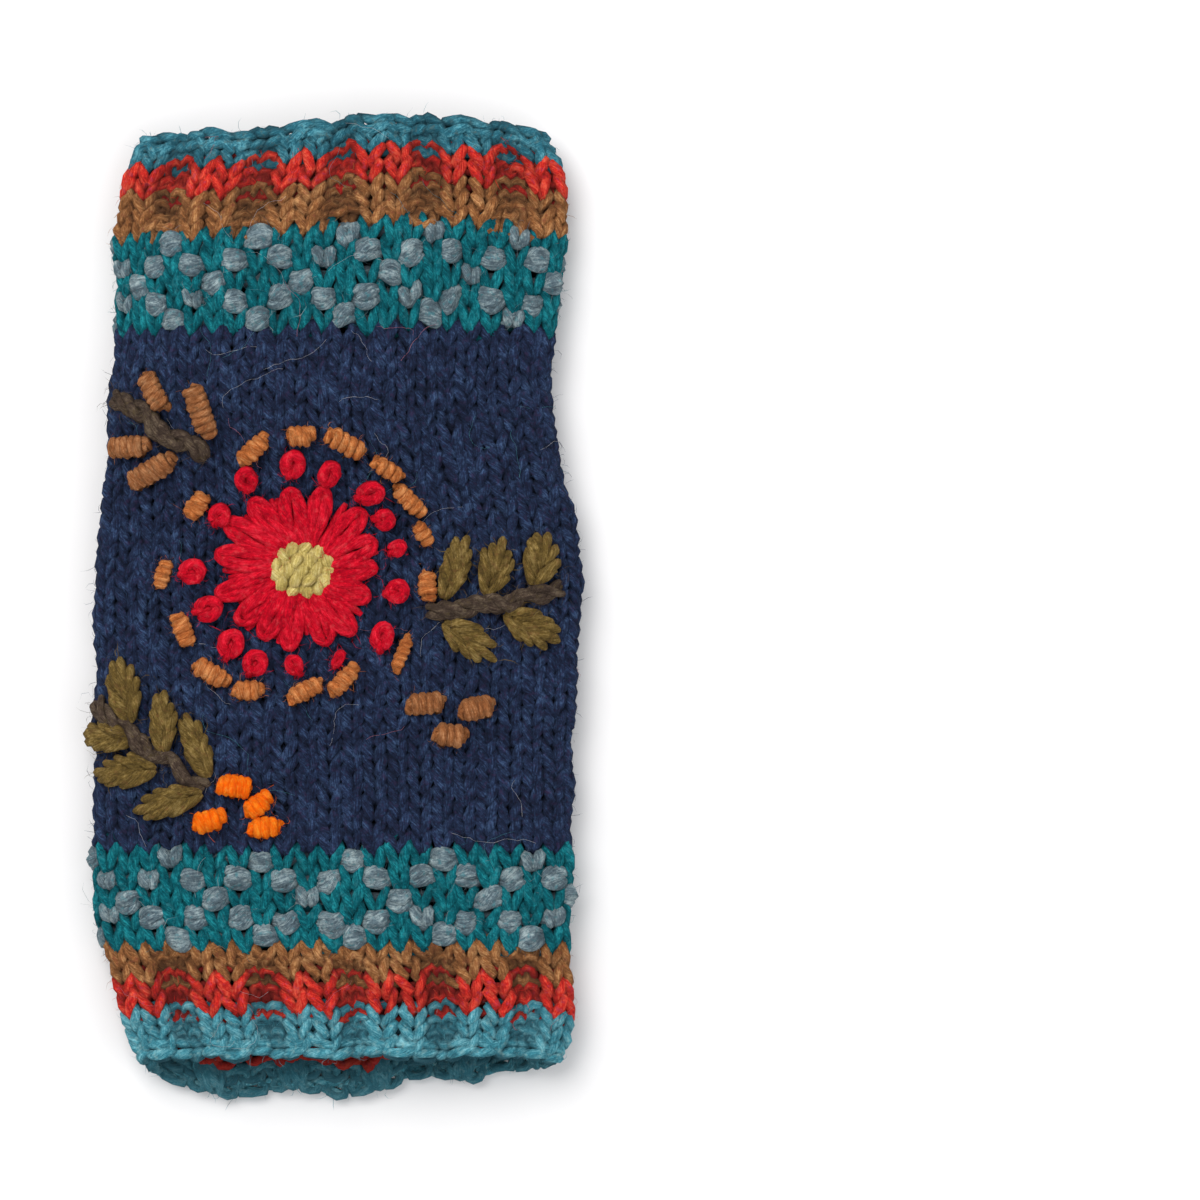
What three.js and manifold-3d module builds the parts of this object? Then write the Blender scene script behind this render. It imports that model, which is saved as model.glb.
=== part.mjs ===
// A hand-knitted wool fingerless mitt for the right hand, lying palm down, with an embroidered back.
// Millimetres. +X runs to the little finger's side, +Y to the fingers, +Z up from the surface it lies on.
import * as THREE from "three";
import { mergeVertices } from "three/addons/utils/BufferGeometryUtils.js";
import Module from "manifold-3d";

const wasm = await Module();
wasm.setup();

// Driving dimensions
const WALL = 2.5; // the knitted fabric's thickness
const GAP = 0.3; // clearance between pieces that touch
const RIBS = 11; // repeats of two knit and two purl stitches round the hand
const RIB_STEPS = 6; // facets across one repeat
const RIB_DEPTH = 1.1; // how far the purl stitches sink below the knit ones
const RIB_PHASE = 0.165; // share of a turn at which a purl furrow lies
const RIB_SKEW = -0.000065; // turns by which the furrows drift round for each millimetre of length
const AROUND = RIBS * RIB_STEPS;
const BACK_POWER = 3.2; // roundness of the section's back, a super-ellipse
const PALM_POWER = 5; // and of its flatter palm
const PALM_SINK = 1.03; // the palm's curve is this deep and is cut off level by the surface below

// The lying outline: the two side edges and the flattened tube's height, from the wrist edge to the
// finger edge.
const OUTLINE = [
  { y: -92, left: -40.0, right: 45.2, high: 15.0 },
  { y: -86, left: -42.4, right: 46.8, high: 14.6 },
  { y: -78, left: -44.6, right: 47.8, high: 14.2 },
  { y: -68, left: -46.6, right: 46.8, high: 13.8 },
  { y: -58, left: -48.4, right: 47.6, high: 13.6 },
  { y: -40, left: -48.2, right: 47.6, high: 13.5 },
  { y: -25, left: -48.0, right: 47.9, high: 13.5 },
  { y: -8, left: -48.2, right: 48.6, high: 13.5 },
  { y: 6, left: -48.0, right: 49.2, high: 13.5 },
  { y: 20, left: -46.6, right: 47.2, high: 13.5 },
  { y: 35, left: -45.6, right: 44.4, high: 13.5 },
  { y: 46, left: -45.0, right: 43.5, high: 13.5 },
  { y: 57, left: -43.2, right: 44.2, high: 13.4 },
  { y: 68, left: -44.0, right: 45.4, high: 13.2 },
  { y: 76, left: -44.2, right: 46.8, high: 13.0 },
  { y: 82, left: -44.0, right: 47.0, high: 12.8 },
  { y: 88, left: -42.0, right: 45.8, high: 12.6 },
  { y: 95, left: -40.0, right: 43.2, high: 12.4 },
];

// The colour bands of the hand tube from wrist to fingers, each a stretch of rounds in one yarn or pattern.
const BANDS = [
  { name: "wrist_edge_band", from: -92, to: -82.1, stations: [], yarn: "teal" },
  { name: "wrist_red_band", from: -82.1, to: -74.7, stations: [], yarn: "scarlet" },
  { name: "wrist_ochre_band", from: -74.7, to: -67.9, stations: [], yarn: "ochre" },
  { name: "wrist_pattern_band", from: -67.9, to: -48.1, stations: [], yarn: "slate" },
  { name: "hand_tube", from: -48.1, to: 54.8, stations: [-28, -5, 8, 16, 24, 31, 38, 46], yarn: "navy" },
  { name: "knuckle_pattern_band", from: 54.8, to: 73.7, stations: [64], yarn: "slate" },
  { name: "knuckle_ochre_band", from: 73.7, to: 81.9, stations: [], yarn: "ochre" },
  { name: "knuckle_red_band", from: 81.9, to: 88.1, stations: [], yarn: "scarlet" },
  { name: "knuckle_edge_band", from: 88.1, to: 95, stations: [], yarn: "teal" },
];
const RIB_ENDS = { wrist: -67.9, fingers: 73.7 }; // the two-by-two rib runs outwards from these rounds
const RIB_RAMP = 5; // and reaches its full depth over this length

// The thumb lies folded flat under the palm, pointing to the fingers. The hand tube is lifted over it.
const THUMB = { left: -27.5, right: 11.1, base: 24, tip: 71.4, high: 9.7, narrowing: 1.4 };
const THUMB_POWER = 3.4;
const THUMB_AROUND = 24;
const THUMB_OPENING_END = 46; // the palm is open to the thumb from its base to here
const THUMB_STATIONS = [THUMB.base, 36, 44, 58, THUMB.tip];
const PALM_LIFT = { high: THUMB.high + GAP, from: 30, full: 42, hold: 73, to: 92, shoulder: 15 };
const PALM_LIFT_BOW = 5; // the crease at the thumb's base bows towards the wrist in its middle
const BACK_LIFT = { high: 6.2, from: 14, full: 46, hold: 66, to: 97, shoulder: 19 };

// How the two mouths stand off from a level edge
const FINGER_ARCH = { high: 3.9, x: 16, spread: 30, from: 42, full: 82 };
const WRIST_LIP = { palm: 6.2, back: 2.4, x: -6, spread: 36, from: -58, full: -90 };
const LIP_RIPPLE = { high: 0.9, pitch: 26, x: 3 };

// Colours of the wools
const YARNS = {
  navy: 0x1d2a4a,
  teal: 0x2f7f8e,
  scarlet: 0xb8251c,
  ochre: 0x8a5a24,
  slate: 0x4c6f78,
  crimson: 0xc8101c,
  amber: 0xb4692a,
  lime: 0xa8a458,
  olive: 0x5f5626,
  bark: 0x3e3a2c,
  orange: 0xf2620c,
};

const clamp01 = (t) => Math.min(1, Math.max(0, t));
const ease = (from, to, at) => {
  const t = clamp01((at - from) / (to - from));
  return t * t * (3 - 2 * t);
};
const bell = (x, middle, spread) => Math.exp(-(((x - middle) / spread) ** 2));

// One column of OUTLINE at length y, on a smooth curve through the rows.
function outlineAt(key, y) {
  const last = OUTLINE.length - 1;
  const above = OUTLINE.findIndex((row) => row.y > y);
  const i = above < 0 ? last - 1 : Math.max(0, above - 1);
  const [a, b, c, d] = [i - 1, i, i + 1, i + 2].map((k) => OUTLINE[Math.min(last, Math.max(0, k))]);
  const t = clamp01((y - b.y) / (c.y - b.y));
  const span = c.y - b.y;
  const slopeB = a === b ? 0 : (span * (c[key] - a[key])) / (c.y - a.y);
  const slopeC = c === d ? 0 : (span * (d[key] - b[key])) / (d.y - b.y);
  const rise = c[key] - b[key];
  return b[key] + t * (slopeB + t * (3 * rise - 2 * slopeB - slopeC + t * (slopeB + slopeC - 2 * rise)));
}

// A smooth plateau over the thumb's footprint, 0 outside and 1 within.
function plateau(lift, x, y, bow) {
  const middle = (THUMB.left + THUMB.right) / 2;
  const bowed = y - bow * clamp01(Math.abs(x - middle) / (THUMB.right - middle)) ** 2;
  const along = ease(lift.from, lift.full, bowed) * (1 - ease(lift.hold, lift.to, y));
  const left = ease(THUMB.left - lift.shoulder, THUMB.left, x);
  const right = 1 - ease(THUMB.right, THUMB.right + lift.shoulder, x);
  return along * left * right;
}

// A point of the hand tube, at a depth below its outer surface. angle is 0 at the right edge, a quarter
// turn on the back and half a turn at the left edge.
function tubePoint(angle, along, depth = 0) {
  const left = outlineAt("left", along);
  const right = outlineAt("right", along);
  const halfHigh = outlineAt("high", along) / 2;
  const up = Math.sin(angle);
  const onBack = up >= 0;
  const power = 2 / (onBack ? BACK_POWER : PALM_POWER);
  const across = Math.sign(Math.cos(angle)) * Math.abs(Math.cos(angle)) ** power;
  const x = (left + right) / 2 + ((right - left) / 2 - depth) * across;
  const level = Math.max(depth, halfHigh + (halfHigh - depth) * up * (onBack ? 1 : PALM_SINK));
  const lifted = onBack
    ? BACK_LIFT.high * plateau(BACK_LIFT, x, along, 0)
    : PALM_LIFT.high * plateau(PALM_LIFT, x, along, PALM_LIFT_BOW);
  const arch = FINGER_ARCH.high * bell(x, FINGER_ARCH.x, FINGER_ARCH.spread) * Math.max(0, up);
  const lip = onBack
    ? WRIST_LIP.back * up
    : up * (WRIST_LIP.palm * bell(x, WRIST_LIP.x, WRIST_LIP.spread)
        + LIP_RIPPLE.high * Math.cos((2 * Math.PI * (x - LIP_RIPPLE.x)) / LIP_RIPPLE.pitch));
  const y = along
    + arch * ease(FINGER_ARCH.from, FINGER_ARCH.full, along)
    + lip * ease(WRIST_LIP.from, WRIST_LIP.full, along);
  return new THREE.Vector3(x, y, level + lifted);
}

// The section's two halves as tables of arc length against angle, each from the left edge to the right one.
const SECTION_STEPS = 160;
const sectionCache = new Map();
function sectionAt(along) {
  const key = along.toFixed(4);
  if (!sectionCache.has(key)) {
    const half = (sign) => {
      const angles = [Math.PI * sign];
      const lengths = [0];
      let before = tubePoint(angles[0], along);
      for (let i = 1; i <= SECTION_STEPS; i++) {
        const angle = Math.PI * sign * (1 - i / SECTION_STEPS);
        const point = tubePoint(angle, along);
        angles.push(angle);
        lengths.push(lengths[i - 1] + Math.hypot(point.x - before.x, point.z - before.z));
        before = point;
      }
      return { angles, lengths, total: lengths[SECTION_STEPS] };
    };
    sectionCache.set(key, { back: half(1), palm: half(-1) });
  }
  return sectionCache.get(key);
}

function angleAt(half, length) {
  const wanted = Math.min(half.total, Math.max(0, length));
  let i = half.lengths.findIndex((reached) => reached >= wanted);
  i = Math.max(1, i);
  const share = (wanted - half.lengths[i - 1]) / (half.lengths[i] - half.lengths[i - 1] || 1);
  return half.angles[i - 1] + share * (half.angles[i] - half.angles[i - 1]);
}

// turn runs from the left edge, 0, over the back to the right edge, 0.5, and under the palm to 1, evenly
// in each half.
function angleOfTurn(turn, along) {
  const { back, palm } = sectionAt(along);
  const t = ((turn % 1) + 1) % 1;
  return t <= 0.5 ? angleAt(back, 2 * t * back.total) : angleAt(palm, 2 * (1 - t) * palm.total);
}

function ribRecess(turn, along) {
  const share = Math.max(
    ease(RIB_ENDS.wrist, RIB_ENDS.wrist - RIB_RAMP, along),
    ease(RIB_ENDS.fingers, RIB_ENDS.fingers + RIB_RAMP, along),
  );
  const wave = 2 * Math.PI * RIBS * (turn - RIB_PHASE - RIB_SKEW * along);
  return (share * RIB_DEPTH * (1 + Math.cos(wave))) / 2;
}

// The directions round the tube and along it, at the outer surface.
const SLOPE_STEP = 0.02;
function slopesAt(angle, along) {
  const round = tubePoint(angle - SLOPE_STEP, along).sub(tubePoint(angle + SLOPE_STEP, along)).normalize();
  const length = tubePoint(angle, along + SLOPE_STEP).sub(tubePoint(angle, along - SLOPE_STEP)).normalize();
  return { round, length };
}

// A point of the fabric, with the rib's furrows. shift moves it along the tube, as a seam between bands
// needs.
function fabricPoint(turn, along, depth, shift = 0) {
  const angle = angleOfTurn(turn, along);
  const point = tubePoint(angle, along, depth + ribRecess(turn, along));
  return point.addScaledVector(slopesAt(angle, along).length, shift);
}

// A closed mesh from rings of points, with faces from each ring to the next. The faces that close a loop
// are split along the other diagonal, so that the two sides of a seam between bands run parallel.
function meshOfRings(rings, closedLoop) {
  const count = rings[0].length;
  const positions = rings.flat().flatMap((p) => [p.x, p.y, p.z]);
  const index = [];
  const steps = closedLoop ? rings.length : rings.length - 1;
  for (let j = 0; j < steps; j++) {
    const next = (j + 1) % rings.length;
    for (let i = 0; i < count; i++) {
      const [a, b] = [j * count + i, j * count + ((i + 1) % count)];
      const [c, d] = [next * count + i, next * count + ((i + 1) % count)];
      index.push(...(next > j ? [a, b, d, a, d, c] : [a, b, c, b, d, c]));
    }
  }
  if (!closedLoop) {
    for (const [ring, turned] of [[0, true], [rings.length - 1, false]]) {
      const hub = positions.length / 3;
      const middle = rings[ring].reduce((sum, p) => sum.add(p), new THREE.Vector3()).divideScalar(count);
      positions.push(middle.x, middle.y, middle.z);
      for (let i = 0; i < count; i++) {
        const [a, b] = [ring * count + i, ring * count + ((i + 1) % count)];
        index.push(...(turned ? [b, a, hub] : [a, b, hub]));
      }
    }
  }
  const geometry = new THREE.BufferGeometry();
  geometry.setAttribute("position", new THREE.Float32BufferAttribute(positions, 3));
  geometry.setIndex(index);
  return geometry;
}

// three.js geometry to and from a solid that can be joined and cut
function toSolid(geometry) {
  const merged = mergeVertices(geometry, 1e-4);
  return new wasm.Manifold(new wasm.Mesh({
    numProp: 3,
    vertProperties: merged.attributes.position.array,
    triVerts: new Uint32Array(merged.index.array),
  }));
}

function toGeometry(solid) {
  const { vertProperties, triVerts } = solid.getMesh();
  const geometry = new THREE.BufferGeometry();
  geometry.setAttribute("position", new THREE.BufferAttribute(new Float32Array(vertProperties), 3));
  geometry.setIndex(new THREE.BufferAttribute(new Uint32Array(triVerts), 1));
  return geometry;
}

// A stretch of the hand tube: out along the outer face and back along the inner one.
function bandGeometry({ from, to, stations }) {
  const alongs = [from, ...stations, to];
  const inset = (along) => (along === from ? GAP / 2 : along === to ? -GAP / 2 : 0);
  const ring = (along, depth) =>
    Array.from({ length: AROUND }, (_, i) => fabricPoint(i / AROUND, along, depth, inset(along)));
  const outer = alongs.map((along) => ring(along, 0));
  const inner = alongs.map((along) => ring(along, WALL)).reverse();
  return meshOfRings([...outer, ...inner], true);
}

// The thumb's flattened section at a length, shrunk inwards by inset.
function thumbRing(y, inset) {
  const taper = THUMB.narrowing * ease(THUMB.base, THUMB.tip, y);
  const middle = (THUMB.left + THUMB.right) / 2;
  const halfWide = (THUMB.right - THUMB.left) / 2 - taper - inset;
  const halfHigh = THUMB.high / 2 - inset;
  return Array.from({ length: THUMB_AROUND }, (_, i) => {
    const angle = Math.PI - (2 * Math.PI * i) / THUMB_AROUND;
    const across = Math.sign(Math.cos(angle)) * Math.abs(Math.cos(angle)) ** (2 / THUMB_POWER);
    const level = THUMB.high / 2 + halfHigh * Math.max(-1, Math.sin(angle) * PALM_SINK);
    return new THREE.Vector3(middle + halfWide * across, y, Math.min(level, THUMB.high - inset));
  });
}

const thumbShell = toSolid(meshOfRings([
  ...THUMB_STATIONS.map((y) => thumbRing(y, 0)),
  ...THUMB_STATIONS.map((y) => thumbRing(y, WALL)).reverse(),
], true));
const thumbHollow = toSolid(meshOfRings(
  [THUMB.base, THUMB_OPENING_END].map((y) => thumbRing(y, WALL + GAP / 2)),
  false,
));

// The space that the hand tube fills, with the clearance round it, which trims the thumb's base to the
// palm's slope.
const handStations = BANDS.flatMap(({ from, stations }) => [from, ...stations])
  .filter((along) => along > THUMB.base - 2 * THUMB.high && along < THUMB.tip + THUMB.high);
const handSpace = toSolid(meshOfRings(
  handStations.map((along) =>
    Array.from({ length: AROUND }, (_, i) => fabricPoint(i / AROUND, along, -GAP))),
  false,
));

// Embroidery lies on the back. x and y are where a stitch group shows from above, long and wide its size
// there, and turn the direction of its long axis or its tip, in degrees from +X towards +Y.
const PETALS = { x: -6, y: 7.3, count: 16, long: 16.8, notch: 13.6, high: 1.7 };
const SEEDS = { x: -6, y: 7.3, long: 13, wide: 11.4, turn: 0, high: 3.3 };
const CRIMSON_KNOTS = [
  { x: -7.9, y: 28.6, long: 6.3, wide: 4.8, turn: 65 },
  { x: -0.7, y: 26.7, long: 6.3, wide: 4.4, turn: 60 },
  { x: 7.3, y: 22.9, long: 6.6, wide: 5.0, turn: 20 },
  { x: 10.0, y: 17.5, long: 4.9, wide: 4.7, turn: 0 },
  { x: 12.6, y: 11.6, long: 4.4, wide: 3.4, turn: 30 },
  { x: 12.6, y: 3.1, long: 5.5, wide: 5.1, turn: 10 },
  { x: 9.7, y: -6.0, long: 6.2, wide: 5.0, turn: 80 },
  { x: 1.0, y: -10.4, long: 3.8, wide: 2.4, turn: 62 },
  { x: -7.7, y: -11.6, long: 4.9, wide: 3.8, turn: 115 },
  { x: -15.5, y: -11.2, long: 5.6, wide: 5.4, turn: 60 },
  { x: -20.3, y: -7.5, long: 6.4, wide: 5.4, turn: 75 },
  { x: -24.9, y: -0.4, long: 6.2, wide: 5.4, turn: 15 },
  { x: -28.0, y: 7.0, long: 5.9, wide: 5.4, turn: 10 },
  { x: -22.5, y: 18.4, long: 5.2, wide: 4.8, turn: 60 },
  { x: -17.1, y: 25.6, long: 5.9, wide: 4.8, turn: 85 },
];
const BULLION_KNOTS = [
  { x: -15.8, y: 31.4, long: 8.1, wide: 3.9, turn: 40 },
  { x: -6.2, y: 34.2, long: 6.1, wide: 4.1, turn: 0 },
  { x: 2.5, y: 32.8, long: 9.0, wide: 4.1, turn: -31 },
  { x: 10.8, y: 27.6, long: 6.6, wide: 3.9, turn: -36 },
  { x: 15.1, y: 21.2, long: 8.0, wide: 3.8, turn: -51 },
  { x: 17.6, y: 14.6, long: 5.6, wide: 3.5, turn: -68 },
  { x: 18.4, y: 4.2, long: 6.5, wide: 3.6, turn: 90 },
  { x: 13.4, y: -9.3, long: 8.3, wide: 2.8, turn: 69 },
  { x: 2.1, y: -14.7, long: 8.0, wide: 4.0, turn: 47 },
  { x: -5.7, y: -16.7, long: 8.4, wide: 4.1, turn: 30 },
  { x: -17.0, y: -16.8, long: 6.7, wide: 4.2, turn: 0 },
  { x: -24.2, y: -13.2, long: 8.3, wide: 4.4, turn: -32 },
  { x: -29.7, y: -4.5, long: 8.0, wide: 3.9, turn: -69 },
  { x: -33.8, y: 6.4, long: 6.5, wide: 3.4, turn: 75 },
  { x: -27.1, y: 20.3, long: 6.2, wide: 4.4, turn: 50 },
];
const SPRIG_KNOTS = [
  { x: -34.9, y: 42.9, long: 9.7, wide: 4.6, turn: -59 },
  { x: -25.9, y: 39.4, long: 10.6, wide: 4.8, turn: -74 },
  { x: -40.3, y: 31.9, long: 9.6, wide: 4.5, turn: 3 },
  { x: -35.8, y: 27.0, long: 11.4, wide: 4.7, turn: 29 },
];
const OCHRE_KNOTS = [
  { x: 18.2, y: -19.2, long: 8.4, wide: 4.9, turn: 3 },
  { x: 28.3, y: -20.2, long: 7.7, wide: 5.2, turn: 10 },
  { x: 23.1, y: -25.5, long: 7.6, wide: 4.9, turn: -5 },
];
const ORANGE_KNOTS = [
  { x: -19.6, y: -35.8, long: 7.2, wide: 4.4, turn: -8 },
  { x: -14.7, y: -39.4, long: 6.4, wide: 3.8, turn: 38 },
  { x: -13.6, y: -44.0, long: 7.2, wide: 3.8, turn: 0 },
  { x: -24.6, y: -42.6, long: 7.3, wide: 4.2, turn: 12 },
];
const LITTLE_FINGER_SPRAY = {
  leaves: [
    { x: 24.7, y: 8.1, long: 13.2, wide: 6.0, turn: 67 },
    { x: 32.0, y: 8.1, long: 12.6, wide: 7.4, turn: 74 },
    { x: 41.0, y: 9.2, long: 11.4, wide: 7.6, turn: 66 },
    { x: 27.0, y: -6.7, long: 13.4, wide: 6.7, turn: -34 },
    { x: 39.3, y: -4.1, long: 12.8, wide: 7.2, turn: -26 },
  ],
  stem: [[18.8, -1.2], [26, -0.2], [30, 0.6], [35.4, 1], [39, 2], [45.2, 3.8]],
};
const THUMB_SIDE_SPRAY = {
  leaves: [
    { x: -41.5, y: -16.6, long: 13.2, wide: 7.0, turn: 100 },
    { x: -33.8, y: -22.8, long: 12.4, wide: 5.8, turn: 88 },
    { x: -27.4, y: -27.4, long: 13.4, wide: 6.2, turn: 108 },
    { x: -45.0, y: -25.2, long: 10.4, wide: 6.2, turn: 172 },
    { x: -41.6, y: -32.6, long: 13.6, wide: 7.0, turn: 184 },
    { x: -33.0, y: -38.8, long: 14.4, wide: 7.0, turn: 192 },
  ],
  stem: [
    [-47.9, -18.4], [-47.1, -19.4], [-45.4, -21.2], [-43.2, -23.3], [-41, -25.2],
    [-36.2, -28.6], [-32.4, -31.2], [-28, -34], [-25.8, -36.2],
  ],
};
const SPRIG = {
  leaves: [],
  stem: [[-43.6, 41.6], [-37.4, 38.8], [-34.6, 35.4], [-31.6, 33.8], [-27.2, 32], [-25.2, 29.8]],
};
const KNOT_HIGH = 3.2;
const LEAF_HIGH = 1.5;
const LEAF_ROOT = 2.4; // how far a leaf runs in under its stem
const STEM_HIGH = 1.6;
const STEM_WIDE = 3.2;
const STEM_CROWN = 0.6; // the flat top's share of a stem's width
const RIM_HIGH = 0.75; // the share of its height that a pad still has at its rim

// The forms of the pads. reach is the outline, 1 at its ends and sides. feet are the rings that keep the
// underside on the curve of the fabric. rim is how far out the crown reaches before the edge falls away.
// clear is the height of the underside, more on the leaves because some bend round the edge of the hand.
const KNOT = { reach: () => 1, corners: 8, feet: [0.5, 1], rim: 0.72, clear: GAP };
const LEAF = {
  reach: (way) => 1 - 0.16 * Math.abs(Math.sin(2 * way)),
  corners: 8,
  feet: [0.3, 0.65, 1],
  rim: 0.72,
  clear: 2 * GAP,
};
const SEED_DOME = { ...KNOT, corners: 12 };
const SEED_WELL = { ...SEED_DOME, rim: 1 };
const STAR_NOTCH = (1 - PETALS.notch / PETALS.long) / 2;
const STAR = {
  ...KNOT,
  corners: 2 * PETALS.count,
  reach: (way) => 1 - STAR_NOTCH * (1 - Math.cos(PETALS.count * way)),
};

// Where a spot seen from above lies in the fabric: its arc length from the left edge, and its length along.
function spotOnBack(x, y) {
  let along = y;
  let angle = Math.PI / 2;
  for (let i = 0; i < 6; i++) {
    const left = outlineAt("left", along);
    const right = outlineAt("right", along);
    const across = Math.max(-1, Math.min(1, (2 * x - left - right) / (right - left)));
    angle = Math.acos(Math.sign(across) * Math.abs(across) ** (BACK_POWER / 2));
    along += y - tubePoint(angle, along).y;
  }
  const { back } = sectionAt(along);
  const place = (1 - angle / Math.PI) * SECTION_STEPS;
  const i = Math.min(SECTION_STEPS - 1, Math.floor(place));
  return { arc: back.lengths[i] + (place - i) * (back.lengths[i + 1] - back.lengths[i]), along };
}

// A point at a height over the fabric. An arc below 0 runs on round the left edge to the palm.
function pointOver(arc, along, high) {
  const { back, palm } = sectionAt(along);
  const angle = arc >= 0 ? angleAt(back, arc) : angleAt(palm, -arc);
  const { round, length } = slopesAt(angle, along);
  return tubePoint(angle, along).addScaledVector(round.cross(length).normalize(), high);
}

// A low crowned pad on the fabric.
function padGeometry({ x, y, long, wide, turn }, high, { reach, corners, feet, rim, clear }) {
  const spot = spotOnBack(x, y);
  const axis = THREE.MathUtils.degToRad(turn);
  const ring = (share, level) => Array.from({ length: corners }, (_, i) => {
    const way = (2 * Math.PI * i) / corners;
    const out = (reach(way) * share) / 2;
    const [u, v] = [out * Math.cos(way) * long, out * Math.sin(way) * wide];
    const across = u * Math.cos(axis) - v * Math.sin(axis);
    const along = u * Math.sin(axis) + v * Math.cos(axis);
    return pointOver(spot.arc + across, spot.along + along, clear + level);
  });
  const geometry = meshOfRings([...feet.map((share) => ring(share, 0)), ring(rim, RIM_HIGH * high)], false);
  const hubs = [pointOver(spot.arc, spot.along, clear), pointOver(spot.arc, spot.along, clear + high)];
  const { position } = geometry.attributes;
  hubs.forEach((hub, i) => position.setXYZ(position.count - 2 + i, hub.x, hub.y, hub.z));
  return geometry;
}

// A stem laid along a path of spots.
function stemGeometry(path) {
  const rings = path.map(([x, y], i) => {
    const [before, after] = [path[Math.max(0, i - 1)], path[Math.min(path.length - 1, i + 1)]];
    const run = Math.hypot(after[0] - before[0], after[1] - before[1]);
    const [sideX, sideY] = [(after[1] - before[1]) / run, (before[0] - after[0]) / run];
    const spot = spotOnBack(x, y);
    const at = (share, level) => pointOver(
      spot.arc + (sideX * share * STEM_WIDE) / 2,
      spot.along + (sideY * share * STEM_WIDE) / 2,
      LEAF.clear + level,
    );
    return [at(-1, 0), at(-STEM_CROWN, STEM_HIGH), at(STEM_CROWN, STEM_HIGH), at(1, 0)];
  });
  return meshOfRings(rings, false);
}

// A stem with its leaves, as one body. A leaf's turn points to its tip.
function sprayGeometry({ leaves, stem }) {
  const blades = leaves.map((leaf) => {
    const axis = THREE.MathUtils.degToRad(leaf.turn);
    const rooted = {
      ...leaf,
      x: leaf.x - (Math.cos(axis) * LEAF_ROOT) / 2,
      y: leaf.y - (Math.sin(axis) * LEAF_ROOT) / 2,
      long: leaf.long + LEAF_ROOT,
    };
    return toSolid(padGeometry(rooted, LEAF_HIGH, LEAF));
  });
  return toGeometry(blades.reduce((joined, blade) => joined.add(blade), toSolid(stemGeometry(stem))));
}

const materials = Object.fromEntries(Object.entries(YARNS).map(([name, color]) =>
  [name, new THREE.MeshStandardMaterial({ name, color, roughness: 0.95, metalness: 0 })]));
const mitt = new THREE.Group();
function addPiece(name, geometry, yarn) {
  geometry.computeVertexNormals();
  const mesh = new THREE.Mesh(geometry, materials[yarn]);
  mesh.name = name;
  mitt.add(mesh);
}

for (const band of BANDS) {
  const geometry = bandGeometry(band);
  const isHand = band.name === "hand_tube";
  addPiece(band.name, isHand ? toGeometry(toSolid(geometry).subtract(thumbHollow)) : geometry, band.yarn);
}
addPiece("thumb_tube", toGeometry(thumbShell.subtract(handSpace)), "navy");

// The flower's petals are a ring with the seed cluster in its middle.
const petalDisc = { x: PETALS.x, y: PETALS.y, long: 2 * PETALS.long, wide: 2 * PETALS.long, turn: 0 };
const seedWell = { ...SEEDS, long: SEEDS.long + 2 * GAP, wide: SEEDS.wide + 2 * GAP };
const petalPad = toSolid(padGeometry(petalDisc, PETALS.high, STAR));
const wellCut = toSolid(padGeometry(seedWell, 3 * SEEDS.high, SEED_WELL).translate(0, 0, -SEEDS.high));
addPiece("flower_petals", toGeometry(petalPad.subtract(wellCut)), "crimson");
addPiece("flower_seeds", padGeometry(SEEDS, SEEDS.high, SEED_DOME), "lime");

const knotGroups = [
  { stem: "crimson_knot", rows: CRIMSON_KNOTS, yarn: "crimson" },
  { stem: "bullion_knot", rows: BULLION_KNOTS, yarn: "amber" },
  { stem: "sprig_knot", rows: SPRIG_KNOTS, yarn: "amber" },
  { stem: "ochre_knot", rows: OCHRE_KNOTS, yarn: "amber" },
  { stem: "orange_knot", rows: ORANGE_KNOTS, yarn: "orange" },
];
for (const { stem, rows, yarn } of knotGroups) {
  rows.forEach((row, i) => addPiece(`${stem}_${i + 1}`, padGeometry(row, KNOT_HIGH, KNOT), yarn));
}
addPiece("sprig_stem", sprayGeometry(SPRIG), "bark");
addPiece("little_finger_spray", sprayGeometry(LITTLE_FINGER_SPRAY), "olive");
addPiece("thumb_side_spray", sprayGeometry(THUMB_SIDE_SPRAY), "olive");

// The middle of the footprint is brought over the origin.
const box = new THREE.Box3().setFromObject(mitt);
const middle = box.getCenter(new THREE.Vector3());
mitt.children.forEach((mesh) => mesh.geometry.translate(-middle.x, -middle.y, -box.min.z));

export default mitt;
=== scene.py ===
# A hand-knitted wool fingerless mitt lying palm down: its rounds of yarn, its embroidery and loose fibres.
# Lengths are millimetres in the mitt's own layout, and become metres in the frame as each mesh is made.
import math

import bpy
import numpy as np
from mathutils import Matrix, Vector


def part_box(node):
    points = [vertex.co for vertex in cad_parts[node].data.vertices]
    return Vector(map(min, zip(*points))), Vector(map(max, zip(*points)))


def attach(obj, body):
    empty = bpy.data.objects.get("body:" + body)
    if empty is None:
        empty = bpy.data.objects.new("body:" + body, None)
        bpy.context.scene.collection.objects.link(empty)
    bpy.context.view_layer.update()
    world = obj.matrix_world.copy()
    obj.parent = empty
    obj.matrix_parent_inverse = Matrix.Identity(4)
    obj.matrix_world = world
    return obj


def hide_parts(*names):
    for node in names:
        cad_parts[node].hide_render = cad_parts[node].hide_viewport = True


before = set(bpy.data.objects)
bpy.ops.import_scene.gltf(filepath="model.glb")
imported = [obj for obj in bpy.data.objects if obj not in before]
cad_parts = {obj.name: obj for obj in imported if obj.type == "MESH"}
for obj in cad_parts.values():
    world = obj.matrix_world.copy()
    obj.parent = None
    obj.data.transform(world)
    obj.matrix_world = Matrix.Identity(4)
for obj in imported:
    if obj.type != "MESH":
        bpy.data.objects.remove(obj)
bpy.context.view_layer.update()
rng = np.random.default_rng(7)

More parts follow.
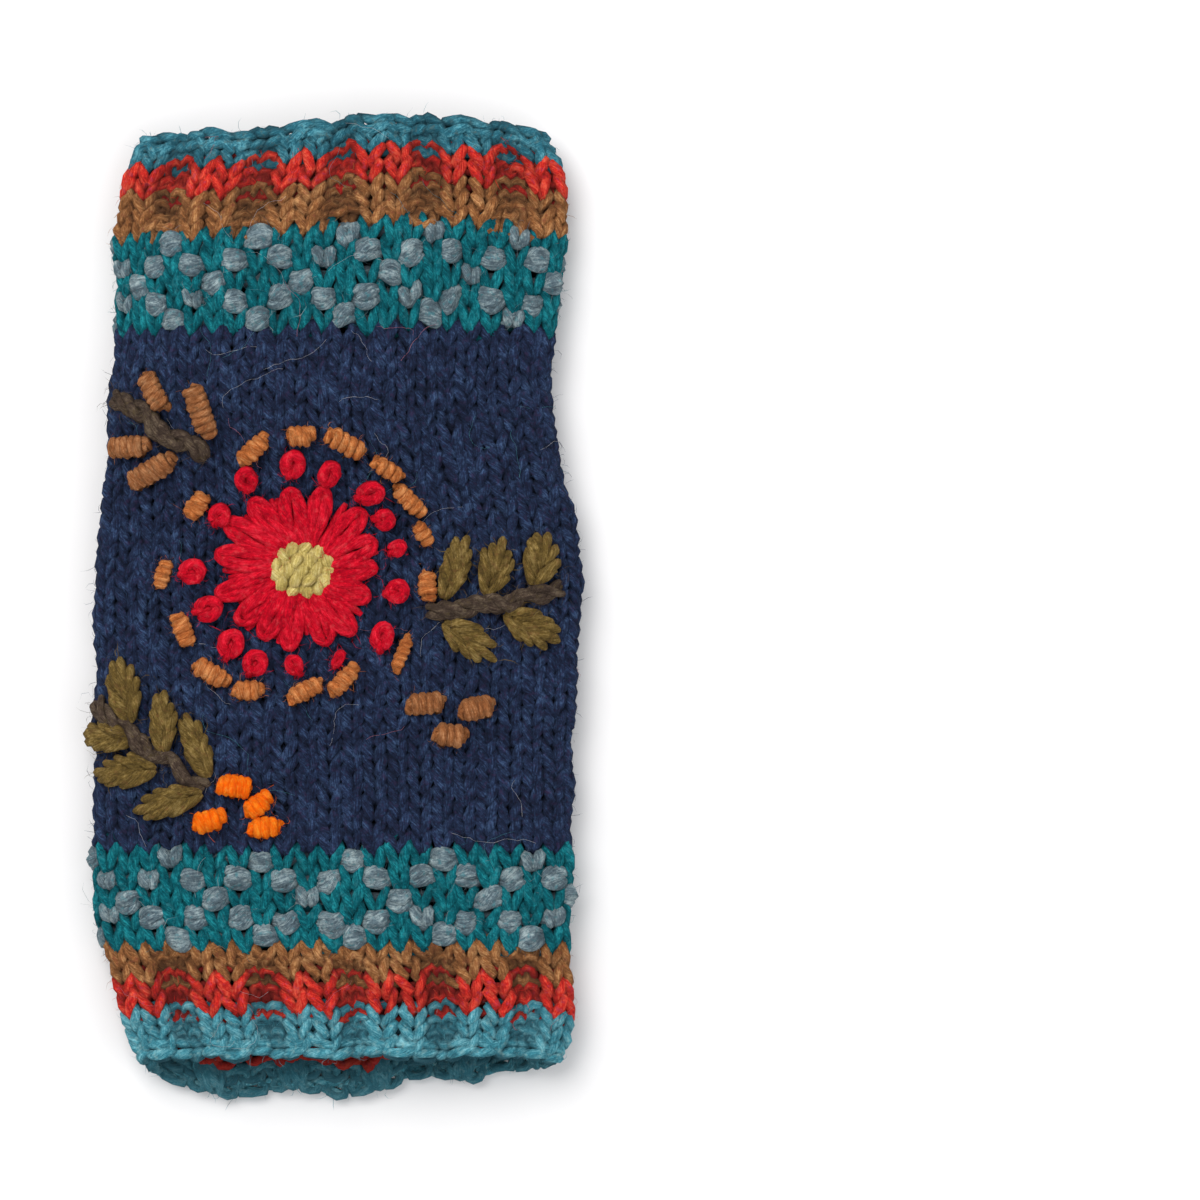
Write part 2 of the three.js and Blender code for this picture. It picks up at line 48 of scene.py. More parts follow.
# Layout of the flattened tube, as the solids have it
PALM_POWER = 5.0
BACK_POWER = 3.2
PALM_SINK = 1.03
OUTLINE = np.array([
    # along, left, right, high
    (-92, -40.0, 45.2, 15.0),
    (-86, -42.4, 46.8, 14.6),
    (-78, -44.6, 47.8, 14.2),
    (-68, -46.6, 46.8, 13.8),
    (-58, -48.4, 47.6, 13.6),
    (-40, -48.2, 47.6, 13.5),
    (-25, -48.0, 47.9, 13.5),
    (-8, -48.2, 48.6, 13.5),
    (6, -48.0, 49.2, 13.5),
    (20, -46.6, 47.2, 13.5),
    (35, -45.6, 44.4, 13.5),
    (46, -45.0, 43.5, 13.5),
    (57, -43.2, 44.2, 13.4),
    (68, -44.0, 45.4, 13.2),
    (76, -44.2, 46.8, 13.0),
    (82, -44.0, 47.0, 12.8),
    (88, -42.0, 45.8, 12.6),
    (95, -40.0, 43.2, 12.4),
])
WRIST_END = -92.0
FINGER_END = 95.0
HAND_START = -48.1  # where the navy hand begins, above the wrist cuff
HAND_END = 54.8  # and where it ends, below the knuckle cuff
BAND_GAP = 0.3  # between the solids of two bands
RIB_ENDS = (-67.9, 73.7)  # between these the fabric is flat
RIB_RAMP = 5.0
RIB_DEPTH = 1.9
RIB_SQUEEZE = 0.46  # how much narrower the cuffs' purl columns are, and wider their knit ones
REPEATS = 11
COLUMNS = 4 * REPEATS
COLUMN_PHASE = 0.165 + 0.5 / COLUMNS  # the turn at the middle of a purl column of the cuffs
COLUMN_SKEW = -0.000065  # how the columns drift round the tube along its length
THUMB = {"left": -27.5, "right": 11.1, "base": 24, "tip": 71.4, "high": 9.7, "narrowing": 1.4, "power": 3.4}
# The tube rises over the thumb, more on the palm's side than on the back
PALM_LIFT = {"high": 10.0, "from": 30, "full": 42, "hold": 73, "to": 92, "shoulder": 15, "bow": 5.0}
BACK_LIFT = {"high": 6.2, "from": 14, "full": 46, "hold": 66, "to": 97, "shoulder": 19, "bow": 0.0}
FINGER_ARCH = {"high": 3.9, "x": 16.0, "spread": 30.0, "from": 42, "full": 82}
WRIST_LIP = {"palm": 6.2, "back": 2.4, "x": -14.0, "spread": 43.0, "from": -58, "full": -90}
LIP_RIPPLE = {"high": 0.9, "pitch": 26.0, "x": 3.0}
SECTION_STEPS = 320  # samples of a section's half, and points of the even ring made from it
RING_POINTS = 528

# Yarn and stitches
YARN = 1.06  # the knitting yarn's radius
FABRIC_SINK = 0.55  # how far a loop's back lies behind its front
LOOP_LEAN = 0.27  # how far a loop's legs lean, as a share of the stitch's width
LOOP_REACH = 0.95  # half a loop's height, as a share of the row's
LOOP_STEPS = 12
YARN_SIDES = 6
FLOAT_SPREAD = 0.3  # how much fuller the yarn is where it floats loosely behind
TWIST_PITCH = 13.0  # one full turn of the plies
PLIES = 3
PROUD = 0.25  # how far the yarn stands out of the solids' surface
LIT_LEVEL = 0.25  # above this level over the cloth's face the yarn has its full colour, with no painted shade
DARK_LEVEL = -1.3  # and below this one painted shade makes it as dark as the gaps between stitches
OUTER_RISE = -0.3  # the side of a strand above this share of its radius faces out of the tube; below it knitted yarn gets the inside painted shade
INSIDE_PAINTED_SHADE = 0.14  # the painted shade of the yarn's side that faces into the tube
CARRIED_PAINTED_SHADE = 0.24  # the painted shade of yarn carried inside
CHAIN_INSIDE_PAINTED_SHADE = 0.62  # the lighter painted shade of that side on the chain round a cast edge, where the rim catches light
EDGE_INSIDE_PAINTED_SHADE = 0.3  # and the painted shade of that side on the rounds next to it
FURROW_PAINTED_SHADE = 0.36  # how much of a furrow's depth counts for its painted shade
UNDER_PAINTED_SHADE = 0.25  # the painted shade of the underside of embroidery yarn, which gets lighter towards its top
REST_DEPTH = 0.6  # yarn that would hang below the solids is pressed to less than this, down to the floor
SHOWN_DEPTH = 1.7  # loose fibres grow from yarn that lies less deep than this
STRAND_SHIFT = 37.7  # how far on along the wool's pattern the next strand starts

# How far neighbouring stitches stray together: a share of a turn, and millimetres
STRAY_TURN = 0.0012
STRAY_ALONG = 0.3
STRAY_DEPTH = 0.28
STRAY_WAVES = 14
# How unevenly one round is knitted: a share of a stitch, millimetres, and shares of the radius
LEAN_NOISE = 0.03
PLACE_NOISE = 0.035
ALONG_NOISE = 0.25
DEPTH_NOISE = 0.18
THICK_NOISE = 0.05

LOOP_BLEND = 0.4  # the share of half a turn over which a loop's foot takes its neighbour's side
LOOP_PLUMP = 0.1
FLOAT_DEPTH = 2.7  # how deep a float lies and how far it drops, as shares of FABRIC_SINK and of the row
FLOAT_DROP = 0.3
CHAIN_WAY = np.linspace(-0.62, 0.62, 6)  # one lump of an edge chain, in stitches
CHAIN_FULL = np.array([0.62, 0.95, 1.05, 1.05, 0.9, 0.55])
CHAIN_RADIUS = 1.05
THUMB_COLUMNS = 18
THUMB_ROUNDS = 13
THUMB_START = 33.0
THUMB_END = THUMB["tip"] - 1.4
THUMB_EDGE = THUMB["tip"] - 1.2
THUMB_FUZZ = 700
HAND_ROUNDS = 34
PATTERN_CHART = [(0,), (1, 3), (2,), (1, 3), (0,)]  # the grey columns of each four, in each of five rounds
PUFF = 1.34  # the grey yarn's radius in its bumps
FLAT = 1.12 * YARN  # and between them
PUFF_STEPS = 10
VEE_SHARE = 0.28  # the share of grey stitches that show as a vee and not as a bump
# The yarn that is carried loosely inside the wrist's mouth, on the palm's side
CARRIED = {"node": "wrist_red_band", "from": 0.54, "to": 0.97, "alongs": (-83.6, -85), "depth": 3.1}
CARRIED_STEPS = 240
STRIPES = [
    # node, start, end, rounds, wool, cast edge
    ("wrist_edge_band", -90.3, -82.1, 3, "sea", -89.9),
    ("wrist_red_band", -82.1, -74.7, 2, "scarlet", None),
    ("wrist_ochre_band", -74.7, -67.9, 2, "ochre", None),
    ("knuckle_ochre_band", 73.7, 81.9, 3, "ochre", None),
    ("knuckle_red_band", 81.9, 88.1, 2, "scarlet", None),
    ("knuckle_edge_band", 88.1, 92.8, 2, "teal", 92.6),
]

# Embroidery
KNOT_FUZZ = 120
WRAP_LONG = 1.72  # how much of a wound bar's length each wrap takes
WRAP_STEPS = 12
FLOWER = (-6.0, 7.3)
PETALS = 15
PETAL_REACH = 17.0
PETAL_LEAN = 1.3  # how much further the petals reach towards the upper left
PETAL_LEAN_WAY = 140
PETAL_ROOT = 4.6
PETAL_YARN = 0.88
BETWEEN = 4  # straight stitches to each petal
PETAL_FUZZ = 1100
SEED_OVAL = (1.12, 0.9)
SEED_FUZZ = 160
LEAF_YARN = 1.08
LEAF_FUZZ = 70
TWIG_STRANDS = 3
TWIG_PITCH = 9.5
TWIG_YARN = 1.12
TWIG_FUZZ = 300
SEED_RINGS = [
    # seeds, distance from the middle, height
    (1, 0.0, 1.9),
    (6, 2.4, 1.7),
    (13, 4.9, 1.0),
    (12, 3.7, 0.4),
    (5, 1.5, 0.8),
]
LITTLE_FINGER_LEAVES = [
    # x, y, long, wide, the way to the tip
    (24.2, 7.9, 13.8, 6.0, 68),
    (32.2, 8.1, 12.4, 7.2, 70),
    (41.2, 9.5, 11.4, 7.6, 68),
    (27.1, -6.7, 13.4, 7.0, -34),
    (39.3, -4.1, 12.9, 7.4, -27),
]
THUMB_SIDE_LEAVES = [
    # x, y, long, wide, the way to the tip
    (-41.5, -16.6, 13.4, 7.3, 99),
    (-33.8, -22.9, 12.6, 6.0, 88),
    (-27.1, -27.6, 13.8, 5.9, 110),
    (-45.4, -25.9, 12.0, 6.8, 172),
    (-41.7, -32.6, 13.6, 7.3, 182),
    (-32.9, -38.8, 14.6, 7.0, 194),
]
# Stems: x, y of points along each
SPRIG_STEM = [(-43.8, 41.8), (-37.4, 38.8), (-34.6, 35.4), (-31.6, 33.8), (-27.2, 32), (-25.2, 29.8)]
LITTLE_FINGER_STEM = [(18.8, -1.2), (26, -0.2), (30, 0.6), (35.4, 1), (39, 2), (45.2, 3.8)]
THUMB_SIDE_STEM = [
    (-47.2, -18.8), (-44.8, -21.7), (-41, -25.2), (-36.2, -28.6),
    (-32.4, -31.2), (-28, -34), (-25.8, -36.2),
]
LEAF_STITCHES = [
    # start and end along the leaf as shares of its length, and how far out the end lies
    (-0.48, 0.0, 1.0),
    (-0.34, 0.2, 1.02),
    (-0.14, 0.36, 0.72),
]
CRIMSON_KNOTS = [
    # x, y, long, wide, turn
    (-7.9, 28.6, 6.9, 5.4, 65),
    (-0.7, 26.7, 6.6, 4.8, 60),
    (7.3, 22.9, 6.9, 5.2, 20),
    (10.0, 17.5, 5.2, 4.9, 0),
    (12.6, 11.6, 4.6, 3.8, 30),
    (12.6, 3.1, 5.7, 5.4, 10),
    (9.7, -6.0, 6.8, 5.3, 80),
    (1.0, -10.4, 4.6, 2.6, 62),
    (-7.7, -11.6, 5.1, 4.1, 115),
    (-15.5, -11.2, 6.2, 5.8, 60),
    (-20.3, -7.5, 7.0, 5.9, 75),
    (-24.9, -0.4, 6.7, 5.9, 15),
    (-28.0, 7.0, 6.3, 5.7, 10),
    (-22.5, 18.4, 5.6, 5.0, 60),
    (-17.1, 25.6, 6.1, 5.2, 85),
]
BULLION_KNOTS = [
    # x, y, long, wide, turn
    (-15.8, 31.4, 8.9, 4.1, 40),
    (-6.2, 34.2, 6.5, 4.4, 0),
    (2.5, 32.8, 9.4, 4.6, -31),
    (10.8, 27.6, 7.6, 3.9, -36),
    (15.1, 21.2, 8.6, 3.9, -51),
    (17.8, 14.5, 6.0, 3.7, -68),
    (18.7, 4.2, 7.0, 4.1, 90),
    (13.6, -9.4, 8.6, 3.0, 69),
    (2.1, -14.5, 8.5, 4.0, 45),
    (-5.7, -16.7, 8.6, 4.1, 27),
    (-17.0, -16.6, 7.0, 4.4, 0),
    (-24.2, -13.2, 8.8, 4.4, -32),
    (-29.8, -4.5, 8.0, 4.1, -69),
    (-33.8, 6.5, 6.8, 3.5, 72),
    (-27.0, 20.3, 6.9, 4.4, 50),
]
SPRIG_KNOTS = [
    # x, y, long, wide, turn
    (-34.9, 42.9, 9.7, 4.6, -59),
    (-26.0, 38.9, 11.4, 4.9, -75),
    (-40.3, 31.9, 10.2, 4.8, 3),
    (-35.8, 27.1, 12.0, 5.0, 29),
]
OCHRE_KNOTS = [
    # x, y, long, wide, turn
    (18.2, -19.2, 8.7, 4.9, 4),
    (28.3, -20.1, 8.0, 5.1, 10),
    (23.1, -25.5, 7.7, 5.2, -5),
]
ORANGE_KNOTS = [
    # x, y, long, wide, turn
    (-19.6, -35.6, 7.8, 5.0, -10),
    (-14.9, -39.3, 7.0, 4.6, 34),
    (-13.7, -43.8, 7.6, 4.7, 2),
    (-24.6, -42.5, 7.6, 4.9, 14),
]

# Loose fibres
FUZZ_PER_ROUND = 320
FIBRE_THICK = 0.031  # a loose fibre's radius
FIBRE_BEND = 0.28
FIBRE_LOWEST = 0.06
FLUFF_SHADE = (0.8, 0.78, 0.58)  # light reaches loose fibres from all round, so their colours are darker
STRAY_THICK = 0.032
STRAY_GIRTH = 190
STRAY_ENDS = (-90, 93)  # no stray reaches beyond these
FIBRE_PATH = [
    # the share of a fibre's length, and of its rise
    (0.0, 0.0),
    (0.35, 0.9),
    (0.7, 0.8),
    (1.0, 0.0),
]
FIBRE_FACES = np.array([
    (0, 2, 1), (0, 3, 2), (0, 1, 3),
    (1, 2, 5), (1, 5, 4), (2, 3, 6), (2, 6, 5), (3, 1, 4), (3, 4, 6),
    (7, 4, 5), (7, 5, 6), (7, 6, 4),
])
# Where a fibre's eight corners lie along it and across it
FIBRE_ALONG = np.array([0, 0.35, 0.35, 0.35, 0.7, 0.7, 0.7, 1.0])[FIBRE_FACES]
FIBRE_ACROSS = np.array([0.5, 0.2, 0.5, 0.8, 0.2, 0.5, 0.8, 0.5])[FIBRE_FACES]

# Wool
SHEEN = 0.2
GROOVE_PAINTED_SHADE = 0.3  # how dark the painted shade in the groove between plies is
FIBRE_STRETCH = (0.42, 13.0)  # the noise of fibres, along the yarn and round it
SHADE_RANGE = (0.42, 0.21)  # where the shades begin in the mixed noise, and how far they reach
ODD_RANGE = {"From Min": 0.56, "From Max": 0.7, "To Max": 0.6}  # which part of the noise is an odd fleck
WOOL_SHADES = {
    # name: the dark colour of painted shade in grooves and deep between stitches, an odd fleck, then the
    # shades from dark to light
    "navy": [(3, 3, 10), (58, 42, 74), (16, 18, 36), (27, 33, 57), (40, 55, 87), (70, 94, 132)],
    "teal": [(15, 45, 58), (98, 115, 108), (23, 68, 85), (46, 118, 138), (110, 182, 198)],
    "sea": [(22, 62, 76), (150, 190, 190), (34, 96, 112), (66, 148, 166), (142, 208, 220)],
    "scarlet": [(78, 15, 19), (192, 68, 98), (132, 21, 26), (224, 40, 35), (252, 106, 78)],
    "ochre": [(52, 31, 23), (138, 65, 53), (92, 56, 32), (154, 98, 56), (216, 162, 108)],
    "peacock": [(0, 30, 40), (56, 134, 144), (0, 50, 60), (4, 98, 110), (40, 158, 168)],
    "slate": [(27, 38, 48), (60, 134, 145), (54, 69, 80), (99, 119, 129), (170, 188, 191)],
    "crimson": [(82, 0, 20), (230, 68, 76), (146, 0, 24), (216, 4, 35), (245, 44, 66)],
    "amber": [(70, 30, 17), (149, 101, 58), (136, 64, 29), (200, 113, 55), (229, 160, 102)],
    "rust": [(57, 30, 18), (118, 86, 57), (105, 58, 32), (157, 97, 56), (194, 140, 97)],
    "lime": [(96, 82, 40), (226, 210, 150), (140, 121, 63), (200, 178, 99), (238, 222, 154)],
    "olive": [(34, 27, 17), (118, 82, 50), (65, 52, 27), (107, 86, 41), (158, 134, 81)],
    "bark": [(23, 18, 18), (92, 78, 50), (42, 32, 30), (74, 60, 52), (119, 104, 86)],
    "orange": [(192, 50, 0), (255, 154, 60), (250, 82, 0), (255, 112, 0), (255, 152, 44)],
    "pale": [(150, 150, 160), (215, 215, 222), (180, 180, 190), (215, 215, 222), (240, 240, 244)],
    "pink": [(150, 70, 90), (214, 130, 150), (180, 90, 110), (214, 130, 150), (236, 176, 190)],
}

# Floor and lights, in metres
FLOOR_HALF = 3.0
FLOOR_GREY = (0.75, 0.75, 0.76)
LIGHTS = [
    # name, place, size, watts, colour
    ("key_light", (-0.42, 0.62, 1.2), 1.0, 19, (1.0, 0.98, 0.96)),
    ("fill_light", (0.7, -0.5, 1.2), 1.4, 7, (0.96, 0.98, 1.0)),
]
WORLD_STRENGTH = 0.6

# Camera
PIXEL = 0.2  # millimetres a pixel of the photo
PHOTO_PIXELS = 1200
LAYOUT_PIXEL = (335, 607)  # where the mitt's layout has its origin in the photo
SENSOR = 36.0
LENS = 180.0
FOCUS_LEVEL = 7.0  # the level of the mitt's side edges, where a pixel is exactly 0.2 mm


def ease(start, end, at):
    t = np.clip((at - start) / (end - start), 0.0, 1.0)
    return t * t * (3 - 2 * t)


def bell(x, middle, spread):
    return np.exp(-(((x - middle) / spread) ** 2))


def unit(vectors):
    return vectors / np.maximum(np.linalg.norm(vectors, axis=-1, keepdims=True), 1e-9)


def running(steps):
    return np.concatenate([[0], np.cumsum(steps)])


def outline_at(column, along):
    """One column of OUTLINE on a smooth curve through its rows."""
    rows = OUTLINE[:, 0]
    last = len(rows) - 1
    i = np.clip(np.searchsorted(rows, along, side="right") - 1, 0, last - 1)
    before, after = np.maximum(i - 1, 0), np.minimum(i + 2, last)
    value = OUTLINE[:, column]
    span = rows[i + 1] - rows[i]
    t = np.clip((along - rows[i]) / span, 0, 1)
    slope_b = np.where(i == 0, 0, span * (value[i + 1] - value[before]) / (rows[i + 1] - rows[before]))
    slope_c = np.where(i == last - 1, 0, span * (value[after] - value[i]) / (rows[after] - rows[i]))
    rise = value[i + 1] - value[i]
    bend = 3 * rise - 2 * slope_b - slope_c + t * (slope_b + slope_c - 2 * rise)
    return value[i] + t * (slope_b + t * bend)


def plateau(lift, x, along):
    middle = (THUMB["left"] + THUMB["right"]) / 2
    side = np.clip(np.abs(x - middle) / (THUMB["right"] - middle), 0, 1)
    up = ease(lift["from"], lift["full"], along - lift["bow"] * side ** 2)
    down = 1 - ease(lift["hold"], lift["to"], along)
    across = ease(THUMB["left"] - lift["shoulder"], THUMB["left"], x)
    across = across * (1 - ease(THUMB["right"], THUMB["right"] + lift["shoulder"], x))
    return lift["high"] * up * down * across


def section_x(angle, middle, half, power):
    """How far to the right a spot of a flattened section lies."""
    return middle + half * np.sign(np.cos(angle)) * np.abs(np.cos(angle)) ** power


def tube_point(angle, along):
    """The hand tube's outer surface. The angle is 0 at the right edge and grows over the back."""
    left, right, high = (outline_at(column, along) for column in (1, 2, 3))
    up = np.sin(angle)
    on_back = up >= 0
    power = np.where(on_back, 2 / BACK_POWER, 2 / PALM_POWER)
    x = section_x(angle, (left + right) / 2, (right - left) / 2, power)
    level = np.maximum(0, high / 2 * (1 + up * np.where(on_back, 1, PALM_SINK)))
    lifted = np.where(on_back, plateau(BACK_LIFT, x, along), plateau(PALM_LIFT, x, along))
    arch = FINGER_ARCH["high"] * bell(x, FINGER_ARCH["x"], FINGER_ARCH["spread"]) * np.maximum(0, up)
    ripple = np.cos(2 * np.pi * (x - LIP_RIPPLE["x"]) / LIP_RIPPLE["pitch"])
    palm_lip = WRIST_LIP["palm"] * bell(x, WRIST_LIP["x"], WRIST_LIP["spread"])
    palm_lip = palm_lip + LIP_RIPPLE["high"] * ripple
    lip = up * np.where(on_back, WRIST_LIP["back"], palm_lip)
    y = along + arch * ease(FINGER_ARCH["from"], FINGER_ARCH["full"], along)
    y = y + lip * ease(WRIST_LIP["from"], WRIST_LIP["full"], along)
    return np.stack([x, y, level + lifted], axis=-1)


class Cloth:
    """A tube surface on a grid, with its normals. turn goes from 0 to 1 round it, and along is length."""

    def __init__(self, points, alongs, lengths):
        """points is rows of even rings, and lengths how far over the back each ring's samples lie."""
        self.alongs = alongs
        self.lengths = lengths
        self.count = points.shape[1]
        self.points = points
        round_way = np.roll(points, -1, axis=1) - np.roll(points, 1, axis=1)
        length_way = np.gradient(points, axis=0)
        self.normals = unit(np.cross(round_way, length_way))
        self.girth = np.linalg.norm(np.roll(points, -1, axis=1) - points, axis=-1).sum(axis=1)

    def at(self, turn, along):
        """Position and normal, by linear interpolation. Beyond the ends the surface runs straight on."""
        place = np.interp(along, self.alongs, np.arange(len(self.alongs)))
        row = np.minimum(place.astype(int), len(self.alongs) - 2)
        v = (place - row)[..., None]
        around = (turn % 1.0) * self.count
        col = around.astype(int) % self.count
        u = (around - np.floor(around))[..., None]
        nxt = (col + 1) % self.count

        def mix(grid):
            near = grid[row, col] * (1 - u) + grid[row, nxt] * u
            far = grid[row + 1, col] * (1 - u) + grid[row + 1, nxt] * u
            return near * (1 - v) + far * v

        position = mix(self.points)
        position[..., 1] += along - np.clip(along, self.alongs[0], self.alongs[-1])
        return position, unit(mix(self.normals))

    def girth_at(self, along):
        return np.interp(along, self.alongs, self.girth)


def section_angles(power, sign):
    """Angles from the left edge to the right one that give even steps across a flattened section."""
    way = np.linspace(-np.pi / 2, np.pi / 2, SECTION_STEPS + 1)
    across = np.sign(way) * np.abs(np.sin(way)) ** (power / 2)
    return sign * np.arccos(across)


def evened(path):
    """A path with even steps, and how far along it each of its first points lies."""
    lengths = running(np.linalg.norm(np.diff(path, axis=0), axis=1))
    wanted = np.linspace(0, lengths[-1], RING_POINTS // 2 + 1)
    return np.stack([np.interp(wanted, lengths, path[:, k]) for k in range(3)], axis=-1), lengths


def make_cloth(point_at, start, end, back_power, palm_power):
    """A cloth with a ring each millimetre, from the left edge over the back and home under the palm."""
    alongs = np.arange(start, end + 0.5, 1.0)
    rings, lengths = [], []
    for along in alongs:
        level = np.full(SECTION_STEPS + 1, along)
        back, reached = evened(point_at(section_angles(back_power, 1), level))
        palm, _ = evened(point_at(section_angles(palm_power, -1), level))
        rings.append(np.concatenate([back[:-1], palm[:0:-1]]))
        lengths.append(reached)
    return Cloth(np.array(rings), alongs, np.array(lengths))


hand = make_cloth(tube_point, WRIST_END, FINGER_END, BACK_POWER, PALM_POWER)
low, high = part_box("hand_tube")
hand_rows = hand.points[(hand.alongs >= HAND_START) & (hand.alongs <= HAND_END)]
# From the layout to the frame, which centres the part
SHIFT = np.array([
    500 * (low[0] + high[0]) - (hand_rows[..., 0].min() + hand_rows[..., 0].max()) / 2,
    1000 * low[1] - (HAND_START + BAND_GAP / 2),
    0.0,
])


def thumb_point(angle, along):
    middle = (THUMB["left"] + THUMB["right"]) / 2
    half = (THUMB["right"] - THUMB["left"]) / 2
    half = half - THUMB["narrowing"] * ease(THUMB["base"], THUMB["tip"], along)
    x = section_x(angle, middle, half, 2 / THUMB["power"])
    level = THUMB["high"] / 2 * (1 + np.maximum(-1, np.sin(angle) * PALM_SINK))
    return np.stack([x, along, np.minimum(level, THUMB["high"])], axis=-1)


thumb = make_cloth(thumb_point, THUMB["base"], THUMB["tip"], THUMB["power"], THUMB["power"])


def plan_to_cloth(x, y):
    """Where spots of the back seen from above lie on the hand: (turn, along)."""
    x = np.atleast_1d(x)
    y = np.atleast_1d(y)
    along = y
    for _ in range(6):
        left, right = outline_at(1, along), outline_at(2, along)
        across = np.clip((2 * x - left - right) / (right - left), -1, 1)
        angle = np.arccos(np.sign(across) * np.abs(across) ** (BACK_POWER / 2))
        along = along + y - tube_point(angle, along)[..., 1]
    place = np.interp(along, hand.alongs, np.arange(len(hand.alongs)))
    place = np.clip(place, 0, len(hand.alongs) - 1.001)
    row = place.astype(int)
    share = place - row
    step = np.clip((np.arcsin(across) / np.pi + 0.5) * SECTION_STEPS, 0, SECTION_STEPS - 0.001)
    k = step.astype(int)
    rest = step - k

    def reached(r):
        table = hand.lengths[r]
        index = np.arange(len(r))
        return (table[index, k] * (1 - rest) + table[index, k + 1] * rest) / table[:, -1] / 2

    return reached(row) * (1 - share) + reached(row + 1) * share, along


def cuff_share(along):
    """1 in the ribbed cuffs and 0 between them."""
    wrist = ease(RIB_ENDS[0], RIB_ENDS[0] - RIB_RAMP, along)
    return np.maximum(wrist, ease(RIB_ENDS[1], RIB_ENDS[1] + RIB_RAMP, along))


def rib_wave(turn, along):
    """Which part of a rib a spot is on, as an angle: 0 in the middle of its furrow."""
    return 2 * np.pi * REPEATS * (turn - COLUMN_PHASE - COLUMN_SKEW * along + 0.5 / COLUMNS)


def smooth_noise(count, knots, scale):
    """A closed run of smooth random values, with the given number of independent ones round the ring."""
    values = rng.normal(0, scale, knots)
    place = np.arange(count) / count * knots
    i = place.astype(int) % knots
    t = place - np.floor(place)
    t = t * t * (3 - 2 * t)
    return values[i] * (1 - t) + values[(i + 1) % knots] * t


class Waver:
    """A smooth random field over the cloth, so that neighbouring stitches stray together."""

    def __init__(self, size):
        self.around = rng.integers(2, 26, STRAY_WAVES)
        self.along = rng.uniform(-0.5, 0.5, STRAY_WAVES)
        self.start = rng.uniform(0, 2 * np.pi, STRAY_WAVES)
        self.size = size * math.sqrt(2 / STRAY_WAVES)

    def at(self, turn, along):
        total = 0
        for around, slope, start in zip(self.around, self.along, self.start):
            total = total + np.cos(2 * np.pi * around * turn + slope * along + start)
        return self.size * total


stray_turn = Waver(STRAY_TURN)
stray_along = Waver(STRAY_ALONG)
stray_depth = Waver(STRAY_DEPTH)


# Meshes of yarn
class Bundle:
    """Many strands as one mesh, with maps of each for its twist, its painted shade and its bake."""

    def __init__(self, sides=YARN_SIDES):
        self.sides = sides
        self.offset = 0
        self.vertices = []
        self.faces = []
        self.caps = []
        self.skins = []
        self.twist = []
        self.bake = []
        self.depth = []

    def add(self, points, normals, radius, closed, shown=slice(None), level=None, inside=INSIDE_PAINTED_SHADE):
        """Adds a tube round points. shown marks the points whose outer side loose fibres may grow from.

        level is how high its middle lies over the cloth's face, for its painted shade, and inside the
        painted shade of its inner side.
        """
        count = len(points)
        if closed:
            tangent = np.roll(points, -1, axis=0) - np.roll(points, 1, axis=0)
            steps = np.linalg.norm(np.roll(points, -1, axis=0) - points, axis=1)
        else:
            tangent = np.gradient(points, axis=0)
            steps = np.linalg.norm(np.diff(points, axis=0), axis=1)
        reach = running(steps) + STRAND_SHIFT * len(self.twist)
        tangent = unit(tangent)
        side = unit(np.cross(normals, tangent))
        up = np.cross(tangent, side)
        radius = np.broadcast_to(radius, (count,))[:, None]
        way = 2 * np.pi * (np.arange(self.sides) + 0.5) / self.sides
        ring = np.cos(way)[None, :, None] * side[:, None, :] + np.sin(way)[None, :, None] * up[:, None, :]
        self.vertices.append((points[:, None, :] + radius[:, :, None] * ring).reshape(-1, 3))
        self.skins.append(np.stack([points, up * radius, side * radius, tangent], axis=1)[shown])
        rise = np.sin(way)[None, :]
        if level is None:
            # painted shade: embroidery yarn is darker on its underside and sides and lighter on its top
            shade = UNDER_PAINTED_SHADE + (1 - UNDER_PAINTED_SHADE) * ease(-0.75, 0.75, rise) + 0 * radius
        else:
            # painted shade: knitted yarn is darker the deeper it lies, and its inward side takes the inside
            # painted shade
            height = level[:, None] + radius * rise
            shade = np.where(rise > OUTER_RISE, ease(DARK_LEVEL, LIT_LEVEL, height), inside)

        segments = count if closed else count - 1
        i, j = np.meshgrid(np.arange(segments), np.arange(self.sides), indexing="ij")
        corners = [(i, j), (i + 1, j), (i + 1, j + 1), (i, j + 1)]
        quads = [(a % count) * self.sides + b % self.sides for a, b in corners]
        self.faces.append(np.stack(quads, axis=-1).reshape(-1, 4) + self.offset)

        def corner_map(across, up_way):
            pairs = [np.stack([across(a, b), up_way(a, b)], -1) for a, b in corners]
            return np.stack(pairs, 2).reshape(-1, 2)

        # self.depth holds each corner's painted shade
        self.depth.append(corner_map(lambda a, b: shade[a % count, b % self.sides], lambda a, b: 0 * a))
        self.twist.append(corner_map(lambda a, b: reach[a], lambda a, b: b / self.sides))
        self.bake.append(corner_map(lambda a, b: a / segments, lambda a, b: b / self.sides))
        if not closed:
            self.caps.append(self.offset + np.arange(self.sides)[::-1])
            self.caps.append(self.offset + (count - 1) * self.sides + np.arange(self.sides))
        self.offset += count * self.sides

    def build(self, name, yarn, node, fuzz_name=None, fuzz_count=0, **fuzz_looks):
        """Makes the piece, and one of loose fibres that grow from it if that has a name."""
        strips = len(self.bake)
        bake = [
            np.stack([0.001 + 0.998 * part[:, 0], (n + 0.03 + 0.94 * part[:, 1]) / strips], -1)
            for n, part in enumerate(self.bake)
        ]
        maps = {"Twist": self.twist, "OFBake": bake, "Depth": self.depth}
        maps = {key: np.concatenate(parts) for key, parts in maps.items()}
        vertices = np.concatenate(self.vertices)
        build_piece(name, yarn, "_wool", node, vertices, np.concatenate(self.faces), self.caps, maps)
        if fuzz_name is not None:
            make_fuzz(fuzz_name, yarn, node, self, fuzz_count, **fuzz_looks)


